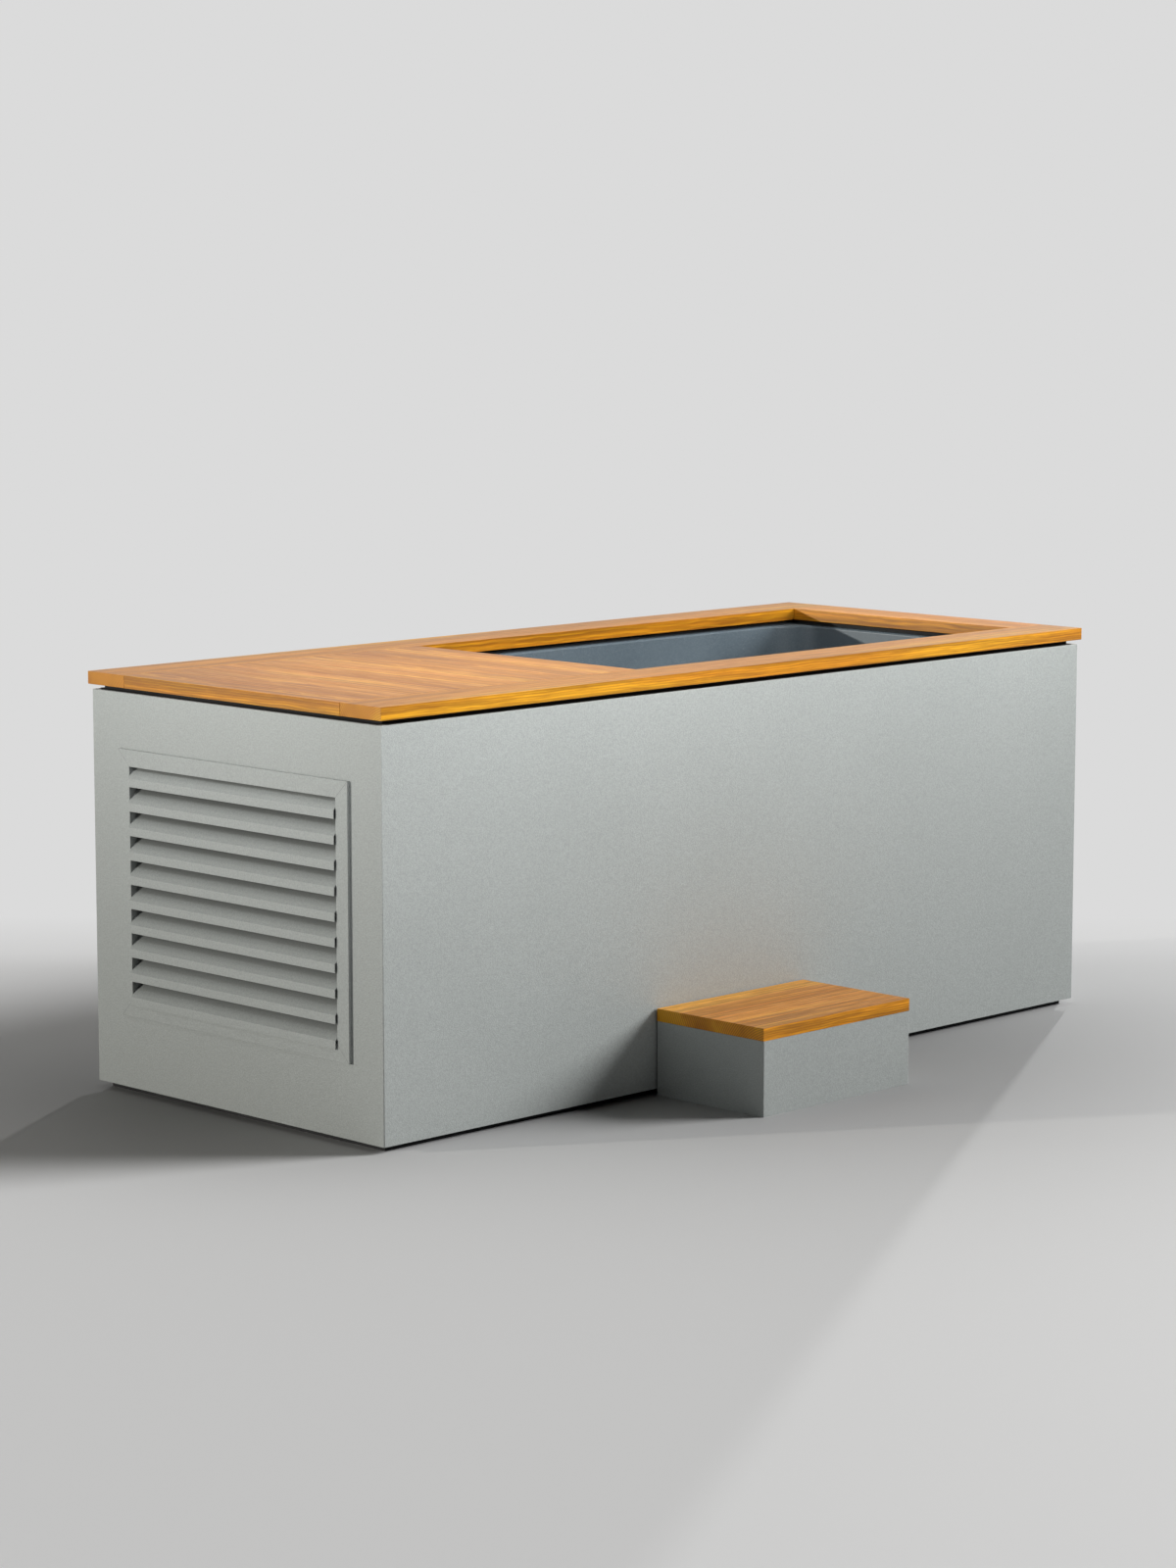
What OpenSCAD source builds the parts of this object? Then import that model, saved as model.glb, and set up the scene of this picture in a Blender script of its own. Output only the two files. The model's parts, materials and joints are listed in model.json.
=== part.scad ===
// Cold plunge tub: a powder-coated cabinet with a timber top, an inset tub, a chiller bay and a loose step.
// Millimetres, +Z up. The origin is the centre of the footprint, on the floor.
// +X runs along the length towards the tub's far end, and -Y is the side that the step stands on.

/* [Overall] */
// Length of the timber top
top_l = 2100; // [2060:10:2300]
// Width of the timber top
top_w = 876; // [850:2:940]
// Height from the floor to the upper face of the timber
total_h = 850; // [830:5:900]

/* [Timber top] */
// Thickness of every board
timber_t = 26; // [22:1:32]
// Width of the front and back rails
side_rail_w = 115; // [108:1:120]
// Width of the rail across the tub's far end
end_rail_w = 110; // [100:1:120]
// Length of the board field over the chiller bay
hatch_l = 796; // [780:2:830]
// Number of boards in the hatch
board_count = 8; // [6:1:10]
// Hairline between two boards
board_gap = 0.3; // [0.2:0.1:1]
// Clearance between the hatch and the rails beside it
hatch_fit = 0.5; // [0.3:0.1:2]
// How far the timber stands past the cabinet
overhang = 6; // [3:1:10]
// Width of a batten under the hatch
batten_w = 60; // [40:5:80]
// Gap under a batten, above the tub's rim
batten_gap = 1; // [0.5:0.5:3]
// Distance from the hatch's side edge to the middle of a batten
batten_inset = 88; // [80:2:108]

/* [Shadow gap] */
// Height of the black spacers between cabinet and timber
spacer_h = 10; // [8:1:14]
// How far the spacers stand back from the cabinet's faces
spacer_recess = 18; // [12:1:22]
// How far the spacers stand back from the tub opening
opening_recess = 20; // [12:1:24]
// How far the ledges reach in under the hatch
ledge_reach = 24; // [18:1:36]

/* [Cabinet] */
// Thickness of the cabinet sheet
sheet_t = 3; // [2:0.5:4]
// Outer radius of the cabinet's edges
edge_r = 2.5; // [1:0.5:2.5]
// Width of the folds at the top of the cabinet sheets
fold_w = 25; // [24:1:30]
// Height of the black base board
plinth_h = 13; // [10:1:20]
// How far the base board stands back from the cabinet
plinth_recess = 20; // [10:1:30]
// Leg of the frame angles
angle_leg = 40; // [36:1:44]
// Thickness of the frame angles
angle_t = 4; // [3:0.5:6]
// Width of a base channel
channel_w = 50; // [40:5:60]
// Sheet thickness of the base channels
channel_t = 3; // [2:0.5:5]
// Height of the base channels
channel_h = 40; // [40:1:50]

/* [Louvre] */
// Width of the louvre's face frame
louvre_w = 686; // [600:2:720]
// Height of the face frame
louvre_h = 541; // [520:1:560]
// Height of the face frame's lower edge above the floor
louvre_z = 161; // [140:1:180]
// Width of the face frame's members
louvre_border = 34; // [30:1:40]
// How far the face frame stands proud of the cabinet
louvre_proud = 7; // [4:0.5:10]
// Depth of the sleeve behind the face frame
sleeve_d = 50; // [46:1:54]
// Sheet thickness of the sleeve
sleeve_t = 2; // [1.5:0.5:3]
// Number of blades
blade_count = 10; // [8:1:10]
// Height from one blade to the next
blade_pitch = 49.2; // [46:0.1:50]
// Drop from the top of the opening to the first lip's lower edge
first_drop = 40; // [36:1:44]
// Height of a blade's lip
lip_h = 17; // [12:1:20]
// How far the lips stand in front of the face frame
lip_proud = 5; // [3:0.5:8]
// Depth of a blade's sloping part
blade_run = 44; // [40:1:46]
// Sheet thickness of a blade
blade_t = 2; // [1.5:0.5:3]

/* [Tub] */
// Thickness of the tub's sheet
tub_t = 3; // [2:0.5:4]
// Radius of the tub's upright corners
tub_corner_r = 80; // [70:5:100]
// Radius between the tub's walls and floor
tub_floor_r = 30; // [15:5:40]
// Width of the tub's rim over the cross beam
rim_w = 83; // [78:1:90]
// Thickness of the foam under the tub
foam_floor_t = 60; // [56:1:80]
// Thickness of the foam around the tub
foam_wall_t = 44; // [30:1:46]
// Gap between curved neighbours
skin_gap = 0.3; // [0.2:0.1:0.5]

/* [Step] */
// Length of the step
step_l = 440; // [380:5:500]
// Depth of the step
step_d = 290; // [250:5:340]
// Height of the step's metal box
step_box_h = 152; // [120:2:180]
// Gap between the step and the cabinet
step_gap = 3; // [2:0.5:6]
// Place of the step's middle along the cabinet, from the origin
step_x = -87; // [-300:1:300]
// Radius of the screws that hold the step's board
screw_r = 2.5; // [2:0.5:3]

/* [Water circuit] */
// Outside diameter of the water pipes
pipe_d = 40; // [32:1:42]
// Bore of the water pipes
pipe_bore = 33; // [25:1:33]
// Outside diameter of the elbows and sockets
socket_d = 50; // [48:1:54]
// Outside diameter of the drain pipe
drain_d = 32; // [25:1:34]
// Height of the pump's axis and of the suction fitting
suction_z = 205; // [200:1:220]
// Clearance between a wall fitting's flange and the tub's rounded corner
flange_clear = 5; // [3:1:12]
// Height of the return line
return_z = 610; // [600:1:640]
// Clearance between the return pipe's long run and the filter's side
return_run_gap = 45; // [35:1:50]
// Height of the drain line
drain_z = 92; // [90:1:94]
// Bore of the hose outlet in the back of the cabinet
outlet_bore = 20; // [16:0.5:24]

/* [Chiller] */
// Diameter of the filter housing
filter_d = 140; // [120:5:150]
// Height of the filter housing
filter_h = 400; // [360:5:410]
// Diameter of the heat exchanger
exchanger_d = 150; // [120:5:160]
// Height of the heat exchanger
exchanger_h = 390; // [350:5:400]
// Diameter of the compressor
compressor_d = 120; // [100:5:130]
// Height of the compressor's shell
compressor_h = 230; // [200:5:280]
// Radius of the fan's blades
fan_r = 225; // [180:5:230]
// Number of fan blades
fan_blades = 5; // [3:1:7]
// Running gap around the fan
fan_gap = 8; // [5:1:12]
// Thickness of the condenser
coil_t = 44; // [30:2:60]
// Diameter of the pump's motor
motor_d = 120; // [100:5:130]
// Length of the pump's motor
motor_l = 170; // [140:5:180]
// Radius of every small shaft
shaft_r = 6; // [5:0.5:8]
// Radial clearance of a shaft in its bore
shaft_fit = 0.05; // [0.02:0.01:0.1]

/* [Hinges] */
// Length of each hatch hinge
hinge_l = 100; // [80:5:120]
// Distance of each hinge from the middle of the hatch
hinge_y = 110; // [80:5:130]
// Thickness of a hinge leaf
leaf_t = 1.5; // [1:0.1:2]
// Width of a hinge leaf
leaf_w = 60; // [50:1:70]
// Outer radius of a knuckle
knuckle_r = 3.6; // [3.2:0.1:4]
// Radius of a hinge pin
pin_r = 2; // [1.5:0.1:2.2]
// Gap between two knuckles
knuckle_gap = 0.4; // [0.3:0.1:0.8]

/* [Hidden] */
$fn = 48;
// Cut that runs past a face
eps = 1;

// Cabinet, worked out from the timber
cab_l = top_l - 2 * overhang;
cab_w = top_w - 2 * overhang;
timber_z = total_h - timber_t;
cab_top = timber_z - spacer_h;
half_l = cab_l / 2;
half_w = cab_w / 2;
in_l = half_l - sheet_t;
in_w = half_w - sheet_t;
frame_top = cab_top - sheet_t;
// Tub opening in the timber
open_x0 = hatch_l - top_l / 2;
open_x1 = top_l / 2 - end_rail_w;
open_y = top_w / 2 - side_rail_w;
board_step = (hatch_l + board_gap) / board_count;
batten_y = open_y - batten_inset;
batten_clear = 2;
batten_end_gap = 16;
// Spacers
sp_x = half_l - spacer_recess;
sp_y = half_w - spacer_recess;
sp_in_y = open_y + opening_recess;
sp_in_x1 = open_x1 + opening_recess;
ledge_y = open_y - ledge_reach;
end_spacer_w = 30;
seat_w = 14;
spacer_clear = 2;
// Frame
base_top = plinth_h + channel_h;
frame_in_l = in_l - angle_leg;
frame_in_w = in_w - angle_leg;
beam_w = angle_leg;
beam_lap = 16;
beam_x1 = open_x0 - rim_w + beam_lap;
beam_x0 = beam_x1 - beam_w;
wall_x = beam_x1 - sheet_t;
// Tub
foam_z = base_top;
tub_z = foam_z + foam_floor_t;
tub_floor = tub_z + tub_t;
rim_x0 = open_x0 - rim_w;
rim_x1 = half_l - fold_w - 1;
rim_y = half_w - fold_w - 1;
tub_out_x0 = open_x0 - tub_t;
foam_x0 = tub_out_x0 - foam_wall_t;
tub_facets = 40;
// Louvre
face_x = -half_l - louvre_proud;
louvre_open_w = louvre_w - 2 * louvre_border;
louvre_top = louvre_z + louvre_h;
louvre_open_z1 = louvre_top - louvre_border;
louvre_open_z0 = louvre_z + louvre_border;
lip_x = face_x - lip_proud;
sleeve_x = sleeve_d - half_l;
sleeve_y = louvre_open_w / 2 + sleeve_t;
sleeve_rise = 28;
sleeve_top = louvre_open_z1 + sleeve_rise;
sleeve_clear = 1;
first_lip_z = louvre_open_z1 - first_drop;
// Hinge
hinge_inset = 0.7;
hinge_x = open_x0 + knuckle_r + hinge_inset;
hinge_z = timber_z - leaf_t;
knuckle_cut = 0.5;
pin_head_t = 1.2;
// Equipment tray
tray_t = 2;
tray_rim = 8;
tray_clear = 2;
tray_x0 = tray_clear - frame_in_l;
tray_x1 = beam_x0 + tray_clear;
tray_y = frame_in_w - tray_clear;
tray_z = base_top + tray_t;
// Condenser and fan
coil_gap = 12;
coil_inset = 20;
coil_foot_h = 60;
coil_foot_w = 40;
coil_rise = 22;
coil_plate_t = 2;
coil_x = sleeve_x + coil_gap;
coil_y = louvre_open_w / 2 - coil_inset;
coil_z0 = tray_z + coil_foot_h;
coil_z1 = louvre_open_z1 + coil_rise;
tube_pitch = 40;
tube_margin = 34;
tube_rows = floor((coil_z1 - coil_z0 - tube_margin) / tube_pitch);
bend_r = 10;
bend_tube_r = 4.7;
coil_mid_x = coil_x + coil_t / 2;
shroud_x = coil_x + coil_t;
shroud_d = 62;
shroud_t = 2;
duct_l = 40;
fan_setback = 26;
fan_x = shroud_x + shroud_d - fan_setback;
fan_z = (coil_z0 + coil_z1) / 2;
fan_hub_r = 55;
fan_hub_l = 36;
fan_motor_r = 52;
fan_motor_l = 64;
duct_out = 10;
bracket_t = 2;
bracket_y = 30;
bracket_w = 16;
bracket_inset = 4;
shaft_hole_r = 16;
fan_shaft_in = 24;
blade_chord = 80;
blade_angle = 24;
fan_blade_t = 3;
blade_root = 6;
fan_motor_x = shroud_x + shroud_d + duct_out + bracket_t;
// Water circuit
valve_l = 70;
valve_r = 28;
drain_valve_r = 22;
stem_r = 6;
handle_reach = 28;
handle_w = 16;
handle_t = 6;
nut_r = 38;
nut_t = 12;
flange_r = 48;
flange_t = 6;
body_r = 24;
spigot_l = 18;
nut_clear = 2;
pipe_clear = 1;
pipe_wall = 3;
socket_t = 5;
socket_l = 0.9;
eye_r = 30;
eye_bore_r = 11;
eye_t = 8;
cover_wall = 8;
cover_t = 10;
dome_t = 6;
slot_pitch = 8;
slot_w = 3;
slot_r = flange_r - 14;
collar_t = 4;
collar_l = 18;
boss_t = 6;
boss_h = 8;
handle_gap = 0.3;
hub_out = 3;
hub_rise = 2;
spigot_x = tub_out_x0 - nut_t - spigot_l;
suction_y = open_y - tub_corner_r - flange_r - flange_clear;
filter_y = suction_y;
return_run_y = filter_y + filter_d / 2 + socket_d / 2 + return_run_gap;
valve_gap = 24;
valve_x1 = wall_x - valve_gap;
valve_x0 = valve_x1 - valve_l;
volute_gap = 6;
volute_x1 = valve_x0 - volute_gap;
volute_l = 62;
volute_r = 64;
volute_wall = 10;
volute_skin = 6;
neck_l = 16;
neck_r = 40;
pump_outlet_l = volute_r + 20;
volute_x0 = volute_x1 - volute_l;
shaft_back = 28;
shaft_l = 42;
vane_t = 3;
vane_h = 6;
vane_hub_r = 12;
disc_x = 13;
motor_fin_h = 4;
motor_fin_w = 3;
motor_fin_inset = 20;
motor_bore_l = 32;
stand_w = 120;
stand_inset = 25;
stand_wall = 8;
stand_lap = 20;
stand_top_h = motor_d / 2 + 14;
stand_x0 = volute_x0 - motor_l + stand_inset;
stand_x1 = volute_x0 - stand_inset;
filter_x = volute_x1 - volute_l / 2;
filter_foot_h = 74;
filter_foot_in = 8;
filter_foot_r = filter_d / 2 - filter_foot_in;
filter_wall = 6;
filter_foot_wall = 5;
band_t = 5;
band_h = 12;
band_drop = 60;
filter_port_l = 10;
filter_port_r = filter_d / 2 + filter_port_l;
filter_z0 = tray_z + filter_foot_h;
filter_z1 = filter_z0 + filter_h;
lid_h = 34;
lid_top_t = 6;
lid_wall = 6;
lid_knob_r = 34;
lid_knob_h = 10;
rib_w = 10;
cartridge_r = 48;
cartridge_cap_r = 54;
cartridge_cap_h = 14;
cartridge_bore_r = 20;
cartridge_base = 8;
cartridge_short = 50;
discharge_rise = 130;
discharge_z = suction_z + discharge_rise;
filter_out_rise = 60;
filter_out_z = filter_z0 + filter_out_rise;
exchanger_spacing = 140;
exchanger_x = filter_x - filter_d / 2 - exchanger_spacing - exchanger_d / 2;
exchanger_z1 = tray_z + exchanger_h;
exchanger_foot_h = 20;
exchanger_foot_in = 12;
exchanger_dome_h = 40;
exchanger_dome_r = exchanger_d / 2 - 30;
exchanger_wall = 6;
exchanger_in_z = tray_z + exchanger_foot_h + exchanger_wall;
exchanger_in_h = exchanger_h - exchanger_foot_h - exchanger_dome_h - 2 * exchanger_wall;
exchanger_port_l = 12;
exchanger_port_r = exchanger_d / 2 + exchanger_port_l;
exchanger_top_l = 18;
return_valve_shift = 60;
return_valve_x = filter_x - return_valve_shift;
return_turn_shift = 30;
return_turn_x = valve_x0 + return_turn_shift;
drain_shift = 40;
drain_x = wall_x - drain_shift;
drain_valve_shift = 100;
drain_valve_y = filter_y + drain_valve_shift;
drain_inset = 95;
drain_centre_x = open_x0 + drain_inset;
drain_flange_r = 36;
drain_flange_t = 3;
drain_body_h = 54;
drain_stub_l = 34;
drain_slot_ring_r = 12;
drain_slot_r = 4;
outlet_depth = 30;
outlet_out = 2;
outlet_y = half_w + outlet_out;
suction_valve_at = [(valve_x0 + valve_x1) / 2, -suction_y, suction_z];
return_valve_at = [return_valve_x, return_run_y, return_z];
drain_valve_at = [drain_x, drain_valve_y, drain_z];
wall_holes = [[-suction_y, suction_z, pipe_d / 2], [filter_y, return_z, pipe_d / 2], [0, drain_z, drain_d / 2]];
// Base channels: two under the bay, one under the cross beam and three under the tub
channel_inset = 50;
channel_lap = 10;
tub_l = open_x1 - open_x0;
channel_xs = [tray_x0 + channel_inset, exchanger_x, beam_x0 + channel_w / 2 - channel_lap,
    open_x0 + 0.3 * tub_l, open_x0 + 0.6 * tub_l, open_x0 + 0.9 * tub_l];
// Compressor
compressor_gap = 92;
compressor_shift = 40;
compressor_lift = 18;
compressor_x = shroud_x + shroud_d + compressor_gap;
compressor_y = -suction_y - compressor_shift;
compressor_z = tray_z + compressor_lift;
compressor_dome_h = 22;
compressor_dome_r = compressor_d / 2 - 25;
compressor_plate_t = 4;
compressor_plate_r = compressor_d / 2 + 8;
arm_l = 30;
arm_w = 32;
foot_r = 13;
foot_in = 14;
accumulator_r = 26;
accumulator_gap = 6;
accumulator_l = 150;
accumulator_lift = 40;
strap_w = 16;
strap_h = 30;
strap_lift = 90;
// Refrigerant lines
gas_r = 5;
gas_top = compressor_z + compressor_h + compressor_dome_h;
gas_rise = 60;
gas_drop = 30;
coil_gas_gap = 36;
coil_gas_y = -coil_y - coil_gas_gap;
cold_gas_z = tray_z + 280;
cold_gas_shift = 36;
cold_gas_in = 20;
accumulator_y = compressor_y + compressor_d / 2 + accumulator_gap + accumulator_r;
accumulator_top = compressor_z + accumulator_lift + accumulator_l;
liquid_y = coil_y + 30;
liquid_z = coil_z0 + 8;
// Control box
box_y = 150;
box_h = 130;
box_d = 62;
box_drop = 61;
box_z0 = frame_top - angle_leg - box_drop - box_h;
box_wall = 3;
box_front = 4;
box_shift = -40;
button_r = 8;
button_out = 3;
button_l = 8;
button_clear = 0.2;
button_pitch = 34;
button_z = box_z0 + button_pitch;
keeper_t = 1.5;
keeper_out = 2;
window_w = 80;
window_h = 40;
window_z0 = box_z0 + 66;
window_d = 1;
// Cable gland
gland_x = -half_l + 560;
gland_z = 130;
gland_r = 12;
gland_bore_r = 6;
gland_in = 30;
gland_out = 14;
gland_nut_t = 6;
gland_hex_t = 5;
gland_hex_out = 6;
gland_cap_out = 2;
// Step
screw_l = 16;
screw_head_t = 3;
screw_inset_x = 50;
screw_inset_y = 40;
step_y1 = -half_w - step_gap;
step_y0 = step_y1 - step_d;
step_y = (step_y0 + step_y1) / 2;
// Colours
steel = [0.62, 0.63, 0.64];
sage = [0.68, 0.71, 0.69];
timber = [0.78, 0.52, 0.27];
black = [0.06, 0.06, 0.065];
pvc = [0.42, 0.44, 0.46];
copper = [0.72, 0.43, 0.28];

// Cylinder of radius r from point a to point b
module bar(a, b, r) {
    d = b - a;
    translate(a)
        rotate([0, acos(d[2] / norm(d)), atan2(d[1], d[0])])
            cylinder(r = r, h = norm(d));
}

// Solid run of pipe along points, with round corners
module run(points, r) {
    for (i = [0 : len(points) - 2]) bar(points[i], points[i + 1], r);
    for (i = [1 : 1 : len(points) - 2]) translate(points[i]) sphere(r = r);
}

// Unit vector from a to b
function toward(a, b) = (b - a) / norm(b - a);

// Solvent-welded water pipe: straight lengths with a socketed elbow at each corner
module water_pipe(points, d, bore) {
    difference() {
        union() {
            run(points, d / 2);
            for (i = [1 : 1 : len(points) - 2]) {
                p = points[i];
                translate(p) sphere(r = d / 2 + socket_t);
                bar(p, p + toward(p, points[i - 1]) * (d * socket_l), d / 2 + socket_t);
                bar(p, p + toward(p, points[i + 1]) * (d * socket_l), d / 2 + socket_t);
            }
        }
        run(points, bore / 2);
    }
}

// Rectangle with rounded corners, between two x values and +-y
module round_rect(x0, x1, y, r) {
    translate([x0 + r, -y]) square([x1 - x0 - 2 * r, 2 * y]);
    translate([x0, r - y]) square([x1 - x0, 2 * (y - r)]);
    for (x = [x0 + r, x1 - r], s = [-1, 1]) translate([x, s * (y - r)]) circle(r = r);
}

// Box between two corners
module block(a, b) {
    translate(a) cube(b - a);
}

// The cabinet's outline with its rounded upright edges
module cabinet_outline() {
    translate([0, 0, plinth_h])
        linear_extrude(cab_top - plinth_h) round_rect(-half_l, half_l, half_w, edge_r);
}

// Cabinet sheet of a given length along X: an upright with a rounded fold along its top
module folded_sheet(length) {
    rotate([90, 0, 90])
        linear_extrude(length) {
            translate([0, plinth_h]) square([sheet_t, cab_top - plinth_h - edge_r]);
            translate([edge_r, cab_top - sheet_t]) square([fold_w - edge_r, sheet_t]);
            intersection() {
                translate([edge_r, cab_top - edge_r]) circle(r = edge_r);
                translate([0, cab_top - edge_r]) square([edge_r, edge_r]);
            }
            translate([edge_r, cab_top - sheet_t]) square([sheet_t, sheet_t]);
        }
}

// Wedge in plan that mitres a sheet whose face is the whole of one side
module mitre(length) {
    linear_extrude(total_h)
        polygon([[0, 0], [length, 0], [length - fold_w, fold_w], [fold_w, fold_w]]);
}

module base_board() {
    color(black)
        block([-half_l + plinth_recess, -half_w + plinth_recess, 0],
            [half_l - plinth_recess, half_w - plinth_recess, plinth_h]);
}

// Ring of angle: an outer upright leg and a flat leg at one end of its height
module angle_ring(z0, z1, flat_z0) {
    difference() {
        block([-in_l, -in_w, z0], [in_l, in_w, z1]);
        block([-frame_in_l, -frame_in_w, z0 - eps], [frame_in_l, frame_in_w, z1 + eps]);
        difference() {
            block([-in_l + angle_t, -in_w + angle_t, z0 - eps],
                [in_l - angle_t, in_w - angle_t, z1 + eps]);
            block([-in_l, -in_w, flat_z0], [in_l, in_w, flat_z0 + angle_t]);
        }
    }
}

// Ring of angle with inverted channels across it
module base_frame() {
    color(steel) angle_ring(plinth_h, base_top, plinth_h);
    color(steel) base_channels();
}

module base_channels() {
    for (x = channel_xs)
        difference() {
            block([x - channel_w / 2, -frame_in_w, plinth_h], [x + channel_w / 2, frame_in_w, base_top]);
            block([x - channel_w / 2 + channel_t, -frame_in_w - eps, plinth_h - eps],
                [x + channel_w / 2 - channel_t, frame_in_w + eps, base_top - channel_t]);
        }
}

// Upright angle in each corner
module corner_posts() {
    for (sx = [-1, 1], sy = [-1, 1])
        scale([sx, sy, 1])
            difference() {
                block([in_l - angle_leg, in_w - angle_leg, base_top], [in_l, in_w, frame_top - angle_leg]);
                block([in_l - angle_leg - eps, in_w - angle_leg - eps, base_top - eps],
                    [in_l - angle_t, in_w - angle_t, frame_top]);
            }
}

// Corner posts, the ring of angle on them and the two flats that carry the edges of the hatch
module upper_frame() {
    color(steel) {
        corner_posts();
        angle_ring(frame_top - angle_leg, frame_top, frame_top - angle_t);
        for (s = [-1, 1])
            scale([1, s, 1])
                block([-frame_in_l, ledge_y, frame_top - angle_t], [beam_x0, frame_in_w, frame_top]);
    }
}

module cross_beam() {
    color(steel)
        difference() {
            block([beam_x0, -frame_in_w, frame_top - angle_leg], [beam_x1, frame_in_w, frame_top]);
            block([beam_x0 - eps, -frame_in_w - eps, frame_top - angle_leg + angle_t],
                [beam_x1 - angle_t, frame_in_w + eps, frame_top - angle_t]);
        }
}

module front_panel() {
    color(sage)
        intersection() {
            translate([-half_l, -half_w, 0]) folded_sheet(cab_l);
            translate([-half_l, -half_w, 0]) mitre(cab_l);
            cabinet_outline();
        }
}

module back_panel() {
    color(sage)
        difference() {
            intersection() {
                translate([half_l, half_w, 0]) rotate([0, 0, 180]) folded_sheet(cab_l);
                translate([half_l, half_w, 0]) rotate([0, 0, 180]) mitre(cab_l);
                cabinet_outline();
            }
            for (p = [[drain_x, drain_z, drain_d / 2], [gland_x, gland_z, gland_r]])
                translate([p[0], half_w - sheet_t / 2, p[1]])
                    rotate([90, 0, 0]) cylinder(r = p[2] + skin_gap, h = 3 * sheet_t, center = true);
        }
}

// Sheet of the left end, mitred into the front and back panels
module end_sheet() {
    intersection() {
        translate([-half_l, half_w, 0]) rotate([0, 0, -90]) folded_sheet(cab_w);
        translate([-half_l, half_w, 0]) rotate([0, 0, -90]) mitre(cab_w);
        cabinet_outline();
    }
}

module left_panel() {
    color(sage)
        difference() {
            end_sheet();
            block([-half_l - eps, -sleeve_y - sleeve_clear, louvre_open_z0 - sleeve_t - sleeve_clear],
                [-in_l + eps, sleeve_y + sleeve_clear, sleeve_top + sleeve_clear]);
        }
}

module right_panel() {
    color(sage) rotate([0, 0, 180]) end_sheet();
}

module bulkhead() {
    color(steel)
        difference() {
            block([wall_x, -in_w + angle_t + pipe_clear, base_top],
                [wall_x + sheet_t, in_w - angle_t - pipe_clear, frame_top - angle_leg]);
            for (p = wall_holes)
                translate([wall_x - eps, p[0], p[1]])
                    rotate([0, 90, 0]) cylinder(r = p[2] + pipe_clear, h = sheet_t + 2 * eps);
        }
}

module louvre_frame() {
    color(sage) {
        difference() {
            block([face_x, -louvre_w / 2, louvre_z], [-half_l, louvre_w / 2, louvre_top]);
            block([face_x - eps, -louvre_open_w / 2, louvre_open_z0],
                [-half_l + eps, louvre_open_w / 2, louvre_open_z1]);
        }
        difference() {
            block([-half_l, -sleeve_y, louvre_open_z0 - sleeve_t], [sleeve_x, sleeve_y, sleeve_top]);
            block([-half_l - eps, -louvre_open_w / 2, louvre_open_z0],
                [sleeve_x + eps, louvre_open_w / 2, sleeve_top - sleeve_t]);
        }
    }
}

// Lip and sloping part of a blade, seen from the side
blade_section = [
    [0, 0], [0, lip_h], [blade_run, lip_h + blade_run],
    [blade_run + blade_t * sin(45), lip_h + blade_run - blade_t * sin(45)],
    [blade_t, lip_h - blade_t * tan(22.5)], [blade_t, 0]];

module louvre_blades() {
    color(sage)
        for (i = [0 : blade_count - 1])
            translate([lip_x, louvre_open_w / 2, first_lip_z - i * blade_pitch])
                rotate([90, 0, 0]) linear_extrude(louvre_open_w) polygon(blade_section);
}

module shadow_gap_spacers() {
    color(black) {
        for (s = [-1, 1]) {
            scale([1, s, 1]) block([-sp_x, sp_in_y, cab_top], [sp_x, sp_y, timber_z]);
            scale([1, s, 1]) block([-sp_x, ledge_y, cab_top], [beam_x0 - spacer_clear, sp_in_y, timber_z]);
        }
        block([-sp_x, -ledge_y, cab_top], [end_spacer_w - sp_x, ledge_y, timber_z]);
        block([sp_in_x1, -sp_in_y, cab_top], [sp_x, sp_in_y, timber_z]);
        difference() {
            union() {
                block([beam_x0, -sp_in_y, cab_top], [beam_x0 + seat_w, sp_in_y, timber_z]);
                block([beam_x0 + seat_w, -sp_in_y, cab_top],
                    [open_x0 - opening_recess, sp_in_y, timber_z - 2 * leaf_t]);
            }
            for (s = [-1, 1])
                block([beam_x0 - eps, s * batten_y - batten_w / 2 - batten_clear, cab_top - eps],
                    [open_x0, s * batten_y + batten_w / 2 + batten_clear, total_h]);
        }
    }
}

module side_rail() {
    block([-top_l / 2, open_y, timber_z], [top_l / 2, top_w / 2, total_h]);
}

module front_rail() {
    color(timber) scale([1, -1, 1]) side_rail();
}

module back_rail() {
    color(timber) side_rail();
}

module end_rail() {
    color(timber) block([open_x1, -open_y, timber_z], [top_l / 2, open_y, total_h]);
}

module hatch_boards() {
    color(timber)
        for (i = [0 : board_count - 1])
            block([i * board_step - top_l / 2, -open_y + hatch_fit, timber_z],
                [(i + 1) * board_step - board_gap - top_l / 2, open_y - hatch_fit, total_h]);
}

// Flat bars under the boards, which tie all of them together
module hatch_battens() {
    color("dimgray")
        for (s = [-1, 1])
            block([end_spacer_w + batten_clear - sp_x, s * batten_y - batten_w / 2, cab_top + batten_gap],
                [open_x0 - opening_recess - batten_end_gap, s * batten_y + batten_w / 2, timber_z]);
}

// Span of a knuckle along its hinge: 0 and 2 belong to the fixed leaf, 1 to the moving one
function knuckle_y0(i) = i * hinge_l / 3 + (i == 0 ? 0 : knuckle_gap / 2);
function knuckle_y1(i) = (i + 1) * hinge_l / 3 - (i == 2 ? 0 : knuckle_gap / 2);

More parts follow.
